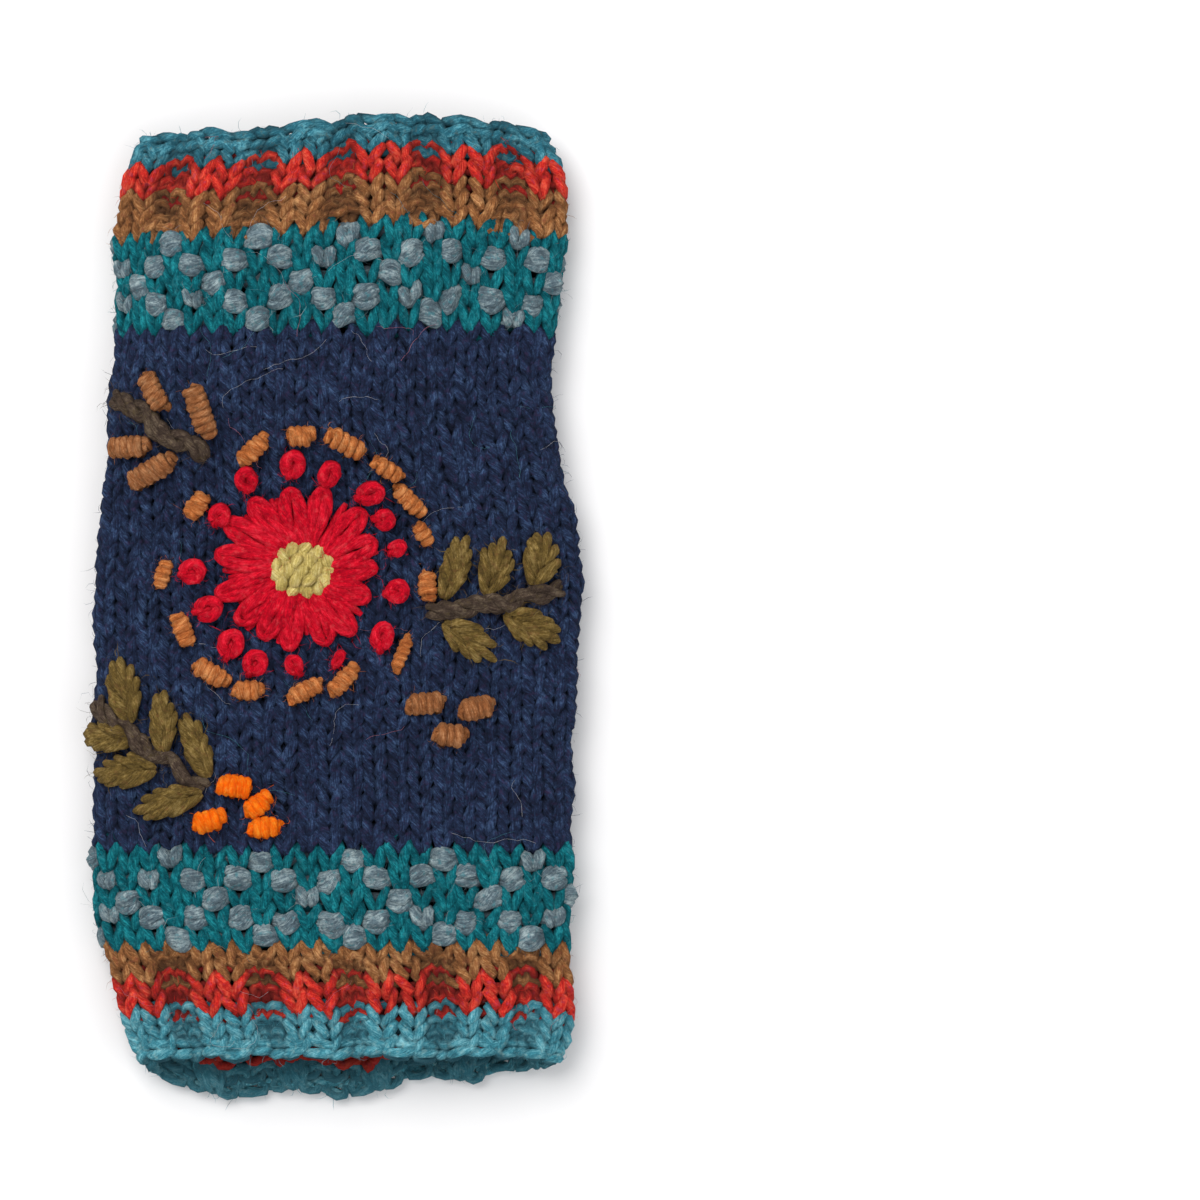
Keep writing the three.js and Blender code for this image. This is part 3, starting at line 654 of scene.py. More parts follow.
def build_piece(name, yarn, kind, node, vertices, faces, extra, maps):
    """Makes one mesh of equal faces and a few extra ones, in its wool, and hands it to the frame."""
    below = np.minimum(vertices[:, 2], 0)
    vertices[:, 2] += -below - REST_DEPTH * (1 - np.exp(below / REST_DEPTH))
    mesh = bpy.data.meshes.new(name)
    mesh.vertices.add(len(vertices))
    mesh.vertices.foreach_set("co", ((vertices + SHIFT) / 1000).astype(np.float32).ravel())
    corners = np.concatenate([faces.ravel(), *extra])
    sizes = np.array([faces.shape[1]] * len(faces) + [len(face) for face in extra])
    mesh.loops.add(len(corners))
    mesh.loops.foreach_set("vertex_index", corners.astype(np.int32))
    mesh.polygons.add(len(sizes))
    mesh.polygons.foreach_set("loop_start", np.concatenate([[0], np.cumsum(sizes)[:-1]]).astype(np.int32))
    mesh.polygons.foreach_set("use_smooth", np.ones(len(sizes), bool))
    for key, places in maps.items():
        spare = np.full((len(corners) - len(places), 2), 0.6)
        layer = mesh.uv_layers.new(name=key)
        layer.data.foreach_set("uv", np.concatenate([places, spare]).astype(np.float32).ravel())
    mesh.update()
    mesh.validate()
    piece = bpy.data.objects.new(name, mesh)
    bpy.context.scene.collection.objects.link(piece)
    mesh.materials.append(bpy.data.materials[yarn + kind])
    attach(piece, "root")
    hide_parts(node)


def make_fuzz(name, yarn, node, bundle, count, long=(1.6, 4.2), thick=FIBRE_THICK, lift=0.45):
    """Loose fibres that spring from the outer side of the yarn and lie over it in flat curves."""
    skin = np.concatenate(bundle.skins)
    point, up, side, tangent = (skin[rng.integers(0, len(skin), count)][:, k] for k in range(4))
    radius = np.linalg.norm(up, axis=1, keepdims=True)
    way = rng.uniform(-0.9, 0.9, (count, 1))
    out = (up * np.cos(way) + side * np.sin(way)) / radius
    start = point + out * radius * 0.93
    across = side / radius * np.cos(way) - up / radius * np.sin(way)
    turn = rng.uniform(0, 2 * np.pi, (count, 1))
    ahead = tangent * np.cos(turn) + across * np.sin(turn)
    beside = np.cross(out, ahead)
    length = rng.uniform(*long, (count, 1)) * rng.uniform(0.5, 1.0, (count, 1))
    bend = rng.normal(0, FIBRE_BEND, (count, 1)) * length
    rise = np.abs(rng.normal(0, lift, (count, 1))) * np.minimum(1, length / 3)
    end_rise = rng.normal(0.1, 0.5, (count, 1)) * rise
    path = []
    for t, high in FIBRE_PATH:
        curve = ahead * length * t + beside * bend * 4 * t * (1 - t)
        path.append(start + curve + out * (rise * high + end_rise * t * t))
    thickness = thick * rng.uniform(0.6, 1.25, (count, 1))
    rows = [path[0][:, None]]
    for k in (1, 2):
        angles = 2 * np.pi * np.arange(3) / 3
        ring = [path[k] + thickness * (np.cos(angle) * beside + np.sin(angle) * out) for angle in angles]
        rows.append(np.stack(ring, axis=1))
    rows.append(path[3][:, None])
    vertices = np.concatenate(rows, axis=1)
    vertices[..., 2] = np.maximum(vertices[..., 2], FIBRE_LOWEST)
    faces = FIBRE_FACES[None] + vertices.shape[1] * np.arange(count)[:, None, None]
    tone = rng.uniform(0, 400, (count, 1, 1)) + FIBRE_ALONG[None]
    shade = rng.uniform(0, 1, (count, 1, 1)) + 0 * FIBRE_ALONG
    cell = np.ceil(math.sqrt(count))
    index = np.arange(count)
    corner = np.stack([index % cell, index // cell], -1)[:, None, None]
    bake = (corner + 0.1 + 0.8 * np.stack([FIBRE_ALONG, FIBRE_ACROSS], -1)[None]) / cell
    maps = {"Twist": np.stack([tone, shade], -1).reshape(-1, 2), "OFBake": bake.reshape(-1, 2)}
    build_piece(name, yarn, "_fluff", node, vertices.reshape(-1, 3), faces.reshape(-1, 3), [], maps)


# Materials
def uv_map(tree, name):
    node = tree.nodes.new("ShaderNodeUVMap")
    node.uv_map = name
    return node.outputs[0]


def noise(tree, source, **settings):
    node = tree.nodes.new("ShaderNodeTexNoise")
    for key, value in settings.items():
        node.inputs[key].default_value = value
    tree.links.new(source, node.inputs["Vector"])
    return node.outputs["Fac"]


def mixed_in(tree, share, colour, plain):
    """A socket's colour with a share of a plain colour mixed in."""
    node = tree.nodes.new("ShaderNodeMix")
    node.data_type = "RGBA"
    tree.links.new(share, node.inputs["Factor"])
    tree.links.new(colour, node.inputs[6])
    node.inputs[7].default_value = (*plain, 1)
    return node.outputs[2]


def maths(tree, operation, first, second, third=None):
    """A maths node of sockets and plain numbers."""
    node = tree.nodes.new("ShaderNodeMath")
    node.operation = operation
    for socket, value in zip(node.inputs, (first, second, third)):
        if isinstance(value, bpy.types.NodeSocket):
            tree.links.new(value, socket)
        elif value is not None:
            socket.default_value = value
    return node.outputs[0]


def ramp(tree, source, stops):
    node = tree.nodes.new("ShaderNodeValToRGB")
    while len(node.color_ramp.elements) < len(stops):
        node.color_ramp.elements.new(0.5)
    for element, (place, colour) in zip(node.color_ramp.elements, stops):
        element.position = place
        element.color = (*colour, 1)
    tree.links.new(source, node.inputs["Fac"])
    return node.outputs["Color"]


def srgb(red, green, blue):
    def channel(value):
        value /= 255
        return value / 12.92 if value <= 0.04045 else ((value + 0.055) / 1.055) ** 2.4

    return tuple(channel(value) for value in (red, green, blue))


def new_wool(name, lightest):
    """A plain dull shader with a soft sheen: its tree and its shader."""
    material = bpy.data.materials.new(name)
    material.use_nodes = True
    tree = material.node_tree
    tree.nodes.clear()
    output = tree.nodes.new("ShaderNodeOutputMaterial")
    shader = tree.nodes.new("ShaderNodeBsdfPrincipled")
    shader.inputs["Roughness"].default_value = 0.95
    shader.inputs["Specular IOR Level"].default_value = 0.1
    shader.inputs["Sheen Weight"].default_value = SHEEN
    shader.inputs["Sheen Roughness"].default_value = 0.65
    shader.inputs["Sheen Tint"].default_value = (*lightest, 1)
    tree.links.new(shader.outputs[0], output.inputs[0])
    return tree, shader


def fluff_wool(name, shades):
    """Loose fibres, each of one shade."""
    tree, shader = new_wool(name, shades[-1])
    tone = noise(tree, uv_map(tree, "Twist"), Scale=0.7, Detail=1.0)
    colour = ramp(tree, tone, [(0.3, shades[0]), (0.5, shades[1]), (0.7, shades[2])])
    tree.links.new(colour, shader.inputs["Base Color"])


def yarn_wool(name, shades, dark, odd):
    """Yarn: plies wound round each other, fibres along them, and shades that drift along the yarn.

    shades go from dark to light, and dark is the colour of the painted shade between plies and deep between
    stitches.
    """
    tree, shader = new_wool(name, shades[-1])
    link = tree.links.new
    split = tree.nodes.new("ShaderNodeSeparateXYZ")
    link(uv_map(tree, "Twist"), split.inputs[0])
    along, around = split.outputs["X"], split.outputs["Y"]
    turned = maths(tree, "MULTIPLY_ADD", along, 1 / TWIST_PITCH, around)
    wave = maths(tree, "SINE", maths(tree, "MULTIPLY", turned, 2 * math.pi * PLIES), 0)
    ply = maths(tree, "MULTIPLY_ADD", wave, 0.5, 0.5)

    stretched = tree.nodes.new("ShaderNodeCombineXYZ")
    link(maths(tree, "MULTIPLY", along, FIBRE_STRETCH[0]), stretched.inputs["X"])
    link(maths(tree, "MULTIPLY", turned, FIBRE_STRETCH[1]), stretched.inputs["Y"])
    place = tree.nodes.new("ShaderNodeTexCoord").outputs["Object"]
    fibre = noise(tree, stretched.outputs[0], Scale=1.5, Detail=5.0, Roughness=0.72, Distortion=0.5)
    drift = noise(tree, place, Scale=330.0, Detail=3.0, Roughness=0.7)
    fleck = noise(tree, place, Scale=2100.0, Detail=3.0, Roughness=0.75)
    odd_spot = noise(tree, place, Scale=900.0, Detail=2.0, Roughness=0.6)

    mixed = maths(tree, "MULTIPLY_ADD", fibre, 0.5, maths(tree, "MULTIPLY", drift, 0.34))
    mixed = maths(tree, "MULTIPLY_ADD", fleck, 0.22, mixed)
    first, span = SHADE_RANGE
    stops = [(first + span * k / (len(shades) - 1), shade) for k, shade in enumerate(shades)]
    amount = tree.nodes.new("ShaderNodeMapRange")
    link(odd_spot, amount.inputs["Value"])
    for key, value in ODD_RANGE.items():
        amount.inputs[key].default_value = value
    colour = mixed_in(tree, amount.outputs["Result"], ramp(tree, mixed, stops), odd)
    # painted shade: the colour is mixed towards the dark one in the plies' grooves and where the yarn's
    # painted shade map is low
    level = tree.nodes.new("ShaderNodeSeparateXYZ")
    link(uv_map(tree, "Depth"), level.inputs[0])
    lit = maths(tree, "MULTIPLY", level.outputs["X"], maths(tree, "MULTIPLY_ADD", ply, GROOVE_PAINTED_SHADE, 1 - GROOVE_PAINTED_SHADE))
    link(mixed_in(tree, maths(tree, "SUBTRACT", 1.0, lit), colour, dark), shader.inputs["Base Color"])

    height = maths(tree, "MULTIPLY_ADD", fibre, 1.6, maths(tree, "MULTIPLY", ply, 0.4))
    dent = tree.nodes.new("ShaderNodeBump")
    dent.inputs["Strength"].default_value = 0.85
    dent.inputs["Distance"].default_value = 0.0005
    link(maths(tree, "MULTIPLY_ADD", fleck, 0.9, height), dent.inputs["Height"])
    link(dent.outputs[0], shader.inputs["Normal"])


def make_wools():
    for name, colours in WOOL_SHADES.items():
        dark, odd, *shades = (srgb(*colour) for colour in colours)
        yarn_wool(name + "_wool", shades, dark, odd)
        fluff = [tuple(k * channel for channel in shade) for k, shade in zip(FLUFF_SHADE, shades[-3:])]
        fluff_wool(name + "_fluff", fluff)


make_wools()


def tapered(count, radius, ends=0.45, wobble=0.07):
    """A strand's radius: thinner at both ends, and a little uneven between them."""
    t = np.linspace(0, 1, count)
    size = ends + (1 - ends) * np.minimum(1, 6 * np.minimum(t, 1 - t)) ** 0.6
    return radius * size * (1 + rng.normal(0, wobble, count))


# Knitting. In the cuffs' ribs columns 0 and 3 of each repeat of four are purl.
RIBBED = np.array([-1 if c % 4 in (0, 3) else 1 for c in range(COLUMNS)])
PLAIN = np.ones(COLUMNS, int)


def turn_of(cloth, place, columns, along):
    """The turn of a spot that lies a number of columns round a cloth."""
    turn = place / columns
    return turn + COLUMN_PHASE + COLUMN_SKEW * along if cloth is hand else turn


def lay(bundle, cloth, turn, along, depth, radius, closed=True, inside=INSIDE_PAINTED_SHADE):
    """Lays a strand on a cloth at a depth under its surface, strayed with its neighbours."""
    if cloth is hand:
        share = cuff_share(along)
        wave = rib_wave(turn, along)
        turn = turn - share * RIB_SQUEEZE / (2 * np.pi * REPEATS) * np.sin(wave)
        recess = share * RIB_DEPTH * (1 + np.cos(wave)) / 2
        turn = turn + stray_turn.at(turn, along)
        # the level sets the painted shade, and a furrow's recess counts towards it, so furrows are painted
        # darker
        level = PROUD - depth - FURROW_PAINTED_SHADE * recess
        inner = depth + recess + stray_depth.at(turn, along) - PROUD
        along = along + stray_along.at(turn, along)
    else:
        inner = depth - PROUD
        level = -inner
    position, normal = cloth.at(turn, along)
    points = position - normal * inner[:, None]
    bundle.add(points, normal, radius, closed, depth < SHOWN_DEPTH, level, inside)


def knit_round(bundle, cloth, along, row_high, signs, signs_above, present=None, inside=INSIDE_PAINTED_SHADE):
    """One round of loops. signs is 1 for a knit stitch and -1 for a purl.

    signs_above is the next round's signs.
    present marks the columns where this yarn shows. Elsewhere it runs straight behind as a float.
    """
    columns = len(signs)
    count = columns * LOOP_STEPS
    k = np.arange(count)
    column = k // LOOP_STEPS
    s = 2 * np.pi * (k % LOOP_STEPS) / LOOP_STEPS
    here = np.ones(count) if present is None else present[column].astype(float)
    lean = (LOOP_LEAN + smooth_noise(count, columns, LEAN_NOISE)) * np.sin(2 * s) * here
    place = column - 0.5 + s / (2 * np.pi) + lean
    reach = LOOP_REACH * row_high
    before, after = signs[(column - 1) % columns], signs[(column + 1) % columns]
    start = np.clip(1 - s / (LOOP_BLEND * np.pi), 0, 1)
    end = np.clip((s - (2 - LOOP_BLEND) * np.pi) / (LOOP_BLEND * np.pi), 0, 1)
    low_sign = signs[column] * (1 - 0.5 * (start + end)) + 0.5 * (before * start + after * end)
    upper = (1 - np.cos(s)) / 2
    sign = low_sign * (1 - upper) + signs_above[column] * upper
    depth = YARN + FABRIC_SINK * (1 + sign * np.cos(2 * s))
    depth = depth * here + (YARN + FLOAT_DEPTH * FABRIC_SINK) * (1 - here)
    high = -reach * np.cos(s) * here - FLOAT_DROP * reach * (1 - here)
    place = place + smooth_noise(count, columns * 2, PLACE_NOISE)
    v = along + high + smooth_noise(count, columns * 2, ALONG_NOISE)
    depth = depth + smooth_noise(count, columns * 2, DEPTH_NOISE)
    thick = YARN * (1 - LOOP_PLUMP * np.cos(2 * s) * here + FLOAT_SPREAD * (1 - here))
    uneven = 1 + smooth_noise(count, columns, THICK_NOISE) + smooth_noise(count, columns * 3, THICK_NOISE)
    lay(bundle, cloth, turn_of(cloth, place, columns, v), v, depth, thick * uneven, inside=inside)


def edge_chain(bundle, cloth, along, columns):
    """The chain of a cast-on or cast-off edge: slanted lumps in two rows that meet in points."""
    phase = COLUMN_PHASE if cloth is hand else 0.0
    for c in range(columns):
        for way in (-1, 1):
            place = c + 0.05 * way + CHAIN_WAY + rng.normal(0, 0.06)
            high = way * (0.85 - 0.62 * CHAIN_WAY) + rng.normal(0, 0.12)
            depth = CHAIN_RADIUS + 0.5 * (2 * CHAIN_WAY) ** 2 + rng.normal(0, 0.12) - 0.3 * (way < 0)
            size = CHAIN_RADIUS * CHAIN_FULL * rng.uniform(0.92, 1.1)
            lay(bundle, cloth, place / columns + phase, along + high, depth, size, False, CHAIN_INSIDE_PAINTED_SHADE)


def carried_yarn(bundle):
    for along in CARRIED["alongs"]:
        turn = np.linspace(CARRIED["from"], CARRIED["to"], CARRIED_STEPS) + rng.uniform(0, 0.01)
        v = along + smooth_noise(CARRIED_STEPS, 60, 0.55)
        depth = CARRIED["depth"] + smooth_noise(CARRIED_STEPS, 50, 0.4)
        lay(bundle, hand, turn, v, depth, tapered(CARRIED_STEPS, 0.95), False, CARRIED_PAINTED_SHADE)


def make_stripe(node, start, end, rounds, yarn, edge):
    bundle = Bundle()
    row = (end - start) / rounds
    for n in range(rounds):
        middle = start + row * (n + 0.5)
        last = node == "wrist_ochre_band" and n == rounds - 1
        by_edge = edge is not None and abs(middle - edge) < row
        inside = EDGE_INSIDE_PAINTED_SHADE if by_edge else INSIDE_PAINTED_SHADE
        knit_round(bundle, hand, middle, row, RIBBED, PLAIN if last else RIBBED, inside=inside)
    if edge is not None:
        edge_chain(bundle, hand, edge, COLUMNS)
    if node == CARRIED["node"]:
        carried_yarn(bundle)
    name = node.replace("band", "")
    bundle.build(name + "knit", yarn, node, name + "fuzz", FUZZ_PER_ROUND * rounds)


def grey_strands(bundle, middle, row, greys):
    """The grey yarn of one patterned round: bumps of two plump strands, and floats behind the rest."""
    count = COLUMNS * PUFF_STEPS
    k = np.arange(count)
    place = k // PUFF_STEPS + ((k % PUFF_STEPS + 0.5) / PUFF_STEPS - 0.5)
    shown = [c for c in range(COLUMNS) if c % 4 in greys]
    tilt = rng.normal(0, 0.5, COLUMNS)
    shift = rng.normal(0, 0.3, COLUMNS)
    size = rng.uniform(0.86, 1.14, COLUMNS)
    bow = np.where(rng.uniform(size=COLUMNS) < 0.3, -0.75, 0.0)
    vee = rng.uniform(size=COLUMNS) < VEE_SHARE
    share, moved, bend = (np.zeros(count) for _ in range(3))
    for c in shown:
        away = (place - c + COLUMNS / 2) % COLUMNS - COLUMNS / 2
        window = ease(0.72, 0.06, np.abs(away))
        share = np.maximum(share, window * size[c] * (0.45 if vee[c] else 1.0))
        moved += window * (shift[c] + tilt[c] * 2 * away)
        bend += window * bow[c] * (1 - (2 * away) ** 2)
    for strand in (-1, 1):
        v = middle + strand * row * (0.04 + 0.28 * share) + moved + bend
        v = v + smooth_noise(count, COLUMNS * 2, 0.12)
        depth = YARN + 2.3 * FABRIC_SINK * (1 - np.minimum(1.35 * share, 1.1))
        depth = depth + smooth_noise(count, COLUMNS * 2, 0.12)
        thick = FLAT + (PUFF - FLAT) * np.minimum(1.2 * share, 1.12)
        lay(bundle, hand, turn_of(hand, place, COLUMNS, v), v, depth, thick)

    def short_stitch(place, v, depth, radius, ends):
        turn = turn_of(hand, place, COLUMNS, v)
        lay(bundle, hand, turn, v, depth, tapered(6, radius, ends), closed=False)

    leg = np.linspace(0, 1, 6)
    away = np.linspace(-0.42, 0.42, 6)
    for c in shown:
        if vee[c]:
            for way in (-1, 1):
                v = middle + shift[c] + row * (0.42 - 0.86 * leg) + rng.normal(0, 0.2)
                depth = YARN - 0.35 + 1.1 * np.abs(2 * leg - 1) ** 3
                short_stitch(c + way * (0.34 - 0.2 * leg), v, depth, 1.2 * size[c], 0.6)
        else:
            v = middle + shift[c] + 2.4 * tilt[c] * away + bow[c] * (1 - (2 * away) ** 2)
            v = v + rng.normal(0, 0.25)
            short_stitch(c + away, v, YARN - 0.6 + 1.7 * (2 * away) ** 2, 1.45 * size[c], 0.5)


def make_pattern(node, start, end):
    teal, grey = Bundle(), Bundle()
    row = (end - start) / len(PATTERN_CHART)
    for n, greys in enumerate(PATTERN_CHART):
        here = np.array([c % 4 not in greys for c in range(COLUMNS)])
        middle = start + row * (n + 0.5)
        knit_round(teal, hand, middle, row, PLAIN, PLAIN, present=here)
        grey_strands(grey, middle, row, greys)
    name = node.replace("band", "")
    teal.build(name + "teal_knit", "peacock", node)
    grey.build(name + "grey_knit", "slate", node)
    make_fuzz(name + "teal_fuzz", "peacock", node, teal, FUZZ_PER_ROUND * 3)
    make_fuzz(name + "grey_fuzz", "slate", node, grey, FUZZ_PER_ROUND * 7, lift=0.75)


def make_hand_knit():
    row = (HAND_END - HAND_START) / HAND_ROUNDS
    for place, first, last in (("wrist", 0, 12), ("middle", 12, 23), ("knuckle", 23, HAND_ROUNDS)):
        bundle = Bundle()
        for n in range(first, last):
            knit_round(bundle, hand, HAND_START + row * (n + 0.5), row, PLAIN, PLAIN)
        fuzz_count = FUZZ_PER_ROUND * (last - first)
        bundle.build("hand_knit_" + place, "navy", "hand_tube", "hand_fuzz_" + place, fuzz_count)


def make_thumb_knit():
    bundle = Bundle()
    plain = np.ones(THUMB_COLUMNS, int)
    row = (THUMB_END - THUMB_START) / THUMB_ROUNDS
    for n in range(THUMB_ROUNDS):
        knit_round(bundle, thumb, THUMB_START + row * (n + 0.5), row, plain, plain)
    edge_chain(bundle, thumb, THUMB_EDGE, THUMB_COLUMNS)
    bundle.build("thumb_knit", "navy", "thumb_tube", "thumb_fuzz", THUMB_FUZZ)


for stripe in STRIPES:
    make_stripe(*stripe)
make_pattern("wrist_pattern_band", RIB_ENDS[0], HAND_START)
make_pattern("knuckle_pattern_band", HAND_END, RIB_ENDS[1])
make_hand_knit()
make_thumb_knit()


# Embroidery. A spot is a place on the back. Stitches are drawn in its plane and laid on the cloth.
def smooth_path(points, step):
    """A Catmull-Rom curve through points, sampled about every step."""
    points = np.asarray(points, float)
    ends = np.vstack([2 * points[0] - points[1], points, 2 * points[-1] - points[-2]])
    out = []
    for i in range(1, len(ends) - 2):
        a, b, c, d = ends[i - 1:i + 3]
        pieces = max(2, int(math.ceil(np.linalg.norm(c - b) / step)))
        t = (np.arange(pieces) / pieces)[:, None]
        squared, cubed = (2 * a - 5 * b + 4 * c - d) * t ** 2, (3 * b - a - 3 * c + d) * t ** 3
        out.append(0.5 * (2 * b + (c - a) * t + squared + cubed))
    out.append(points[-1][None])
    return np.vstack(out)


class Spot:
    """A place on the back with its own axes, turned by an angle in degrees."""

    def __init__(self, x, y, turn):
        turns, alongs = plan_to_cloth(x, y)
        self.turn = turns[0]
        self.along = alongs[0]
        self.axis = math.radians(turn)

    def lay(self, bundle, path, radius):
        """Lays a strand: path is (along the axis, across it, height over the cloth)."""
        c, s = math.cos(self.axis), math.sin(self.axis)
        dx = path[:, 0] * c - path[:, 1] * s
        along = self.along + (path[:, 0] * s + path[:, 1] * c)
        position, normal = hand.at(self.turn + dx / hand.girth_at(along), along)
        bundle.add(position + normal * path[:, 2:3], normal, radius, closed=False)

    def stitch(self, bundle, points, radius, ends, step=1.0):
        """Lays a tapered strand on a smooth curve through points."""
        path = smooth_path(points, step)
        self.lay(bundle, path, tapered(len(path), radius, ends))


def loop_knot(bundle, spot, long, wide):
    """A small loop of thick yarn with a dimple in its middle, held down by a short stitch at one end."""
    radius = min(1.25, 0.27 * wide)
    a, b = long / 2 - radius, wide / 2 - radius
    way = np.linspace(-0.86 * np.pi, 0.86 * np.pi, 15)
    pinch = 1 - 0.3 * (np.abs(way) / np.pi) ** 3
    height = 1.15 + 0.9 * np.cos(way / 2.2) + rng.normal(0, 0.08, len(way))
    path = np.stack([a * np.cos(way), b * np.sin(way) * pinch, height], -1)
    spot.lay(bundle, path, tapered(len(path), radius, 0.8))
    middle = [(-a * 0.9, 0.1, 0.5), (-0.1 * a, 0, 0.9), (0.5 * a, -0.1, 0.8)]
    spot.stitch(bundle, middle, min(radius, 0.75 * b + 0.3), 0.7, step=0.9)
    held = [(-long / 2 + 0.3, rng.normal(0, 0.2), 0.2), (-a * 0.9, 0, 1.7), (-a * 0.45, 0, 1.5)]
    spot.stitch(bundle, held, radius * 0.7, 0.7, step=0.9)


def bullion(bundle, spot, long, wide, radius):
    """A bar of close wraps round a core, low at both ends."""
    wraps = max(3, round(long / WRAP_LONG))
    t = np.linspace(0, 1, wraps * WRAP_STEPS)
    way = 2 * np.pi * wraps * t + rng.uniform(0, 2 * np.pi)
    u = (long / 2 - 0.8 * radius) * (2 * t - 1)
    fall = 1 - 0.26 * np.abs(2 * t - 1) ** 4
    swell = 1 + 0.07 * np.sin(way / 2.3 + rng.uniform(0, 6))
    core = wide / 2 - radius
    ring = core * fall * swell
    height = 0.55 * radius + 0.72 * ring * (1 + np.sin(way))
    k = np.arange(len(t))
    sunk = np.minimum(1, np.minimum(k, k[::-1]) / 5)
    height = height * sunk - 0.3 * (1 - sunk)
    lean = 0.15 * np.sin(way) + 0.3 * radius * np.cos(way)
    path = np.stack([u + lean, ring * np.cos(way) * (0.6 + 0.4 * sunk), height], -1)
    spot.lay(bundle, path, radius * (0.7 + 0.3 * sunk) * (1 + rng.normal(0, 0.035, len(t))))
    end = long / 2 - radius
    path = smooth_path([(-end, 0, 0.5), (0, 0, 0.6 + 0.7 * core), (end, 0, 0.5)], 1.0)
    spot.lay(bundle, path, core * 0.95)


def make_knots(stem, rows, yarn, radius=None):
    """Knots of one kind, each a piece. They are wound bars with a radius, and loops without one."""
    for n, (x, y, long, wide, turn) in enumerate(rows, start=1):
        bundle = Bundle()
        spot = Spot(x, y, turn)
        if radius is None:
            loop_knot(bundle, spot, long, wide)
        else:
            bullion(bundle, spot, long, wide, radius)
        names = [f"{stem}_{kind}{n}" for kind in ("stitch_", "", "fuzz_")]
        bundle.build(names[0], yarn, *names[1:], KNOT_FUZZ, long=(0.9, 2.4), thick=0.028, lift=0.22)


make_knots("crimson_knot", CRIMSON_KNOTS, "crimson")
make_knots("bullion_knot", BULLION_KNOTS, "amber", 0.92)
make_knots("sprig_knot", SPRIG_KNOTS, "rust", 0.98)
make_knots("ochre_knot", OCHRE_KNOTS, "rust", 1.02)
make_knots("orange_knot", ORANGE_KNOTS, "orange", 1.0)


def petal_reach(turn):
    return PETAL_REACH + PETAL_LEAN * math.cos(math.radians(turn - PETAL_LEAN_WAY))


def make_petals():
    """Loops of yarn that stand like spokes, with straight stitches in, between and over them."""
    bundle = Bundle()
    for n in range(PETALS):
        turn = 360 * (n + rng.uniform(-0.16, 0.16)) / PETALS
        spot = Spot(*FLOWER, turn)
        reach = petal_reach(turn) + rng.uniform(-0.9, 1.2)
        half = rng.uniform(1.6, 2.15)
        lift = rng.uniform(0.6, 1.3)
        bend = rng.normal(0, 0.35)
        edge = [
            # distance from the flower's middle, middle of the loop, half its width, height
            (PETAL_ROOT, 0, 0.3, 0.4),
            (0.42 * reach, 0, 0.6 * half, 1.0 + lift),
            (0.72 * reach, bend, half, 0.7 + lift),
            (reach - 1.7, bend, 0.62 * half, 1.1),
        ]
        loop = [(out, middle - side, high) for out, middle, side, high in edge]
        loop.append((reach - PETAL_YARN, bend, 0.8))
        loop += [(out, middle + side, high) for out, middle, side, high in edge[::-1]]
        path = smooth_path(loop, 1.0)
        spot.lay(bundle, path, PETAL_YARN * (1 + rng.normal(0, 0.07, len(path))))
        for side in (-0.42 * half, 0.42 * half):
            tip = rng.uniform(0.84, 0.95) * reach
            inner = [
                (PETAL_ROOT, 0, 0.9),
                (0.5 * reach, bend + side, 1.0 + lift),
                (0.75 * reach, bend + side, 0.9 + lift),
                (tip, bend + 0.5 * side, 0.4 + 0.5 * lift),
            ]
            spot.stitch(bundle, inner, PETAL_YARN, 0.6)
    for n in range(BETWEEN * PETALS):
        turn = 360 * (n + 0.5 + rng.uniform(-0.5, 0.5)) / (BETWEEN * PETALS)
        tip = petal_reach(turn) * rng.uniform(0.72, 0.96)
        side = rng.normal(0, 0.5)
        over = rng.uniform(0.8, 2.5)
        straight = [(PETAL_ROOT, side / 3, 0.7), (0.55 * tip, side / 2, over), (tip, side, 0.3)]
        Spot(*FLOWER, turn).stitch(bundle, straight, PETAL_YARN, 0.6)
    looks = {"long": (1.5, 4.5), "thick": 0.03, "lift": 0.3}
    names = ("flower_petal_stitches", "crimson", "flower_petals", "flower_petal_fuzz")
    bundle.build(*names, PETAL_FUZZ, **looks)


def make_seeds():
    """Short plump stitches crowded over the middle of the flower."""
    bundle = Bundle(8)
    for number, out, high in SEED_RINGS:
        for k in range(number):
            way = 2 * math.pi * (k + rng.uniform(-0.12, 0.12)) / number
            x = FLOWER[0] + out * SEED_OVAL[0] * math.cos(way)
            y = FLOWER[1] + out * SEED_OVAL[1] * math.sin(way)
            spot = Spot(x, y, rng.normal(80, 24))
            half = rng.uniform(1.5, 1.9)
            top = high + rng.uniform(0.5, 1.1)
            path = smooth_path([(-half, 0, high - 0.9), (0, 0, top), (half, 0, high - 0.9)], 0.4)
            bulge = 1 - np.abs(np.linspace(-1, 1, len(path))) ** 2.6
            spot.lay(bundle, path, rng.uniform(1.15, 1.35) * np.sqrt(np.maximum(0.06, bulge)))
    names = ("flower_seed_stitches", "lime", "flower_seeds", "flower_seed_fuzz")
    bundle.build(*names, SEED_FUZZ, long=(1.0, 2.6), lift=0.3)


make_petals()
make_seeds()


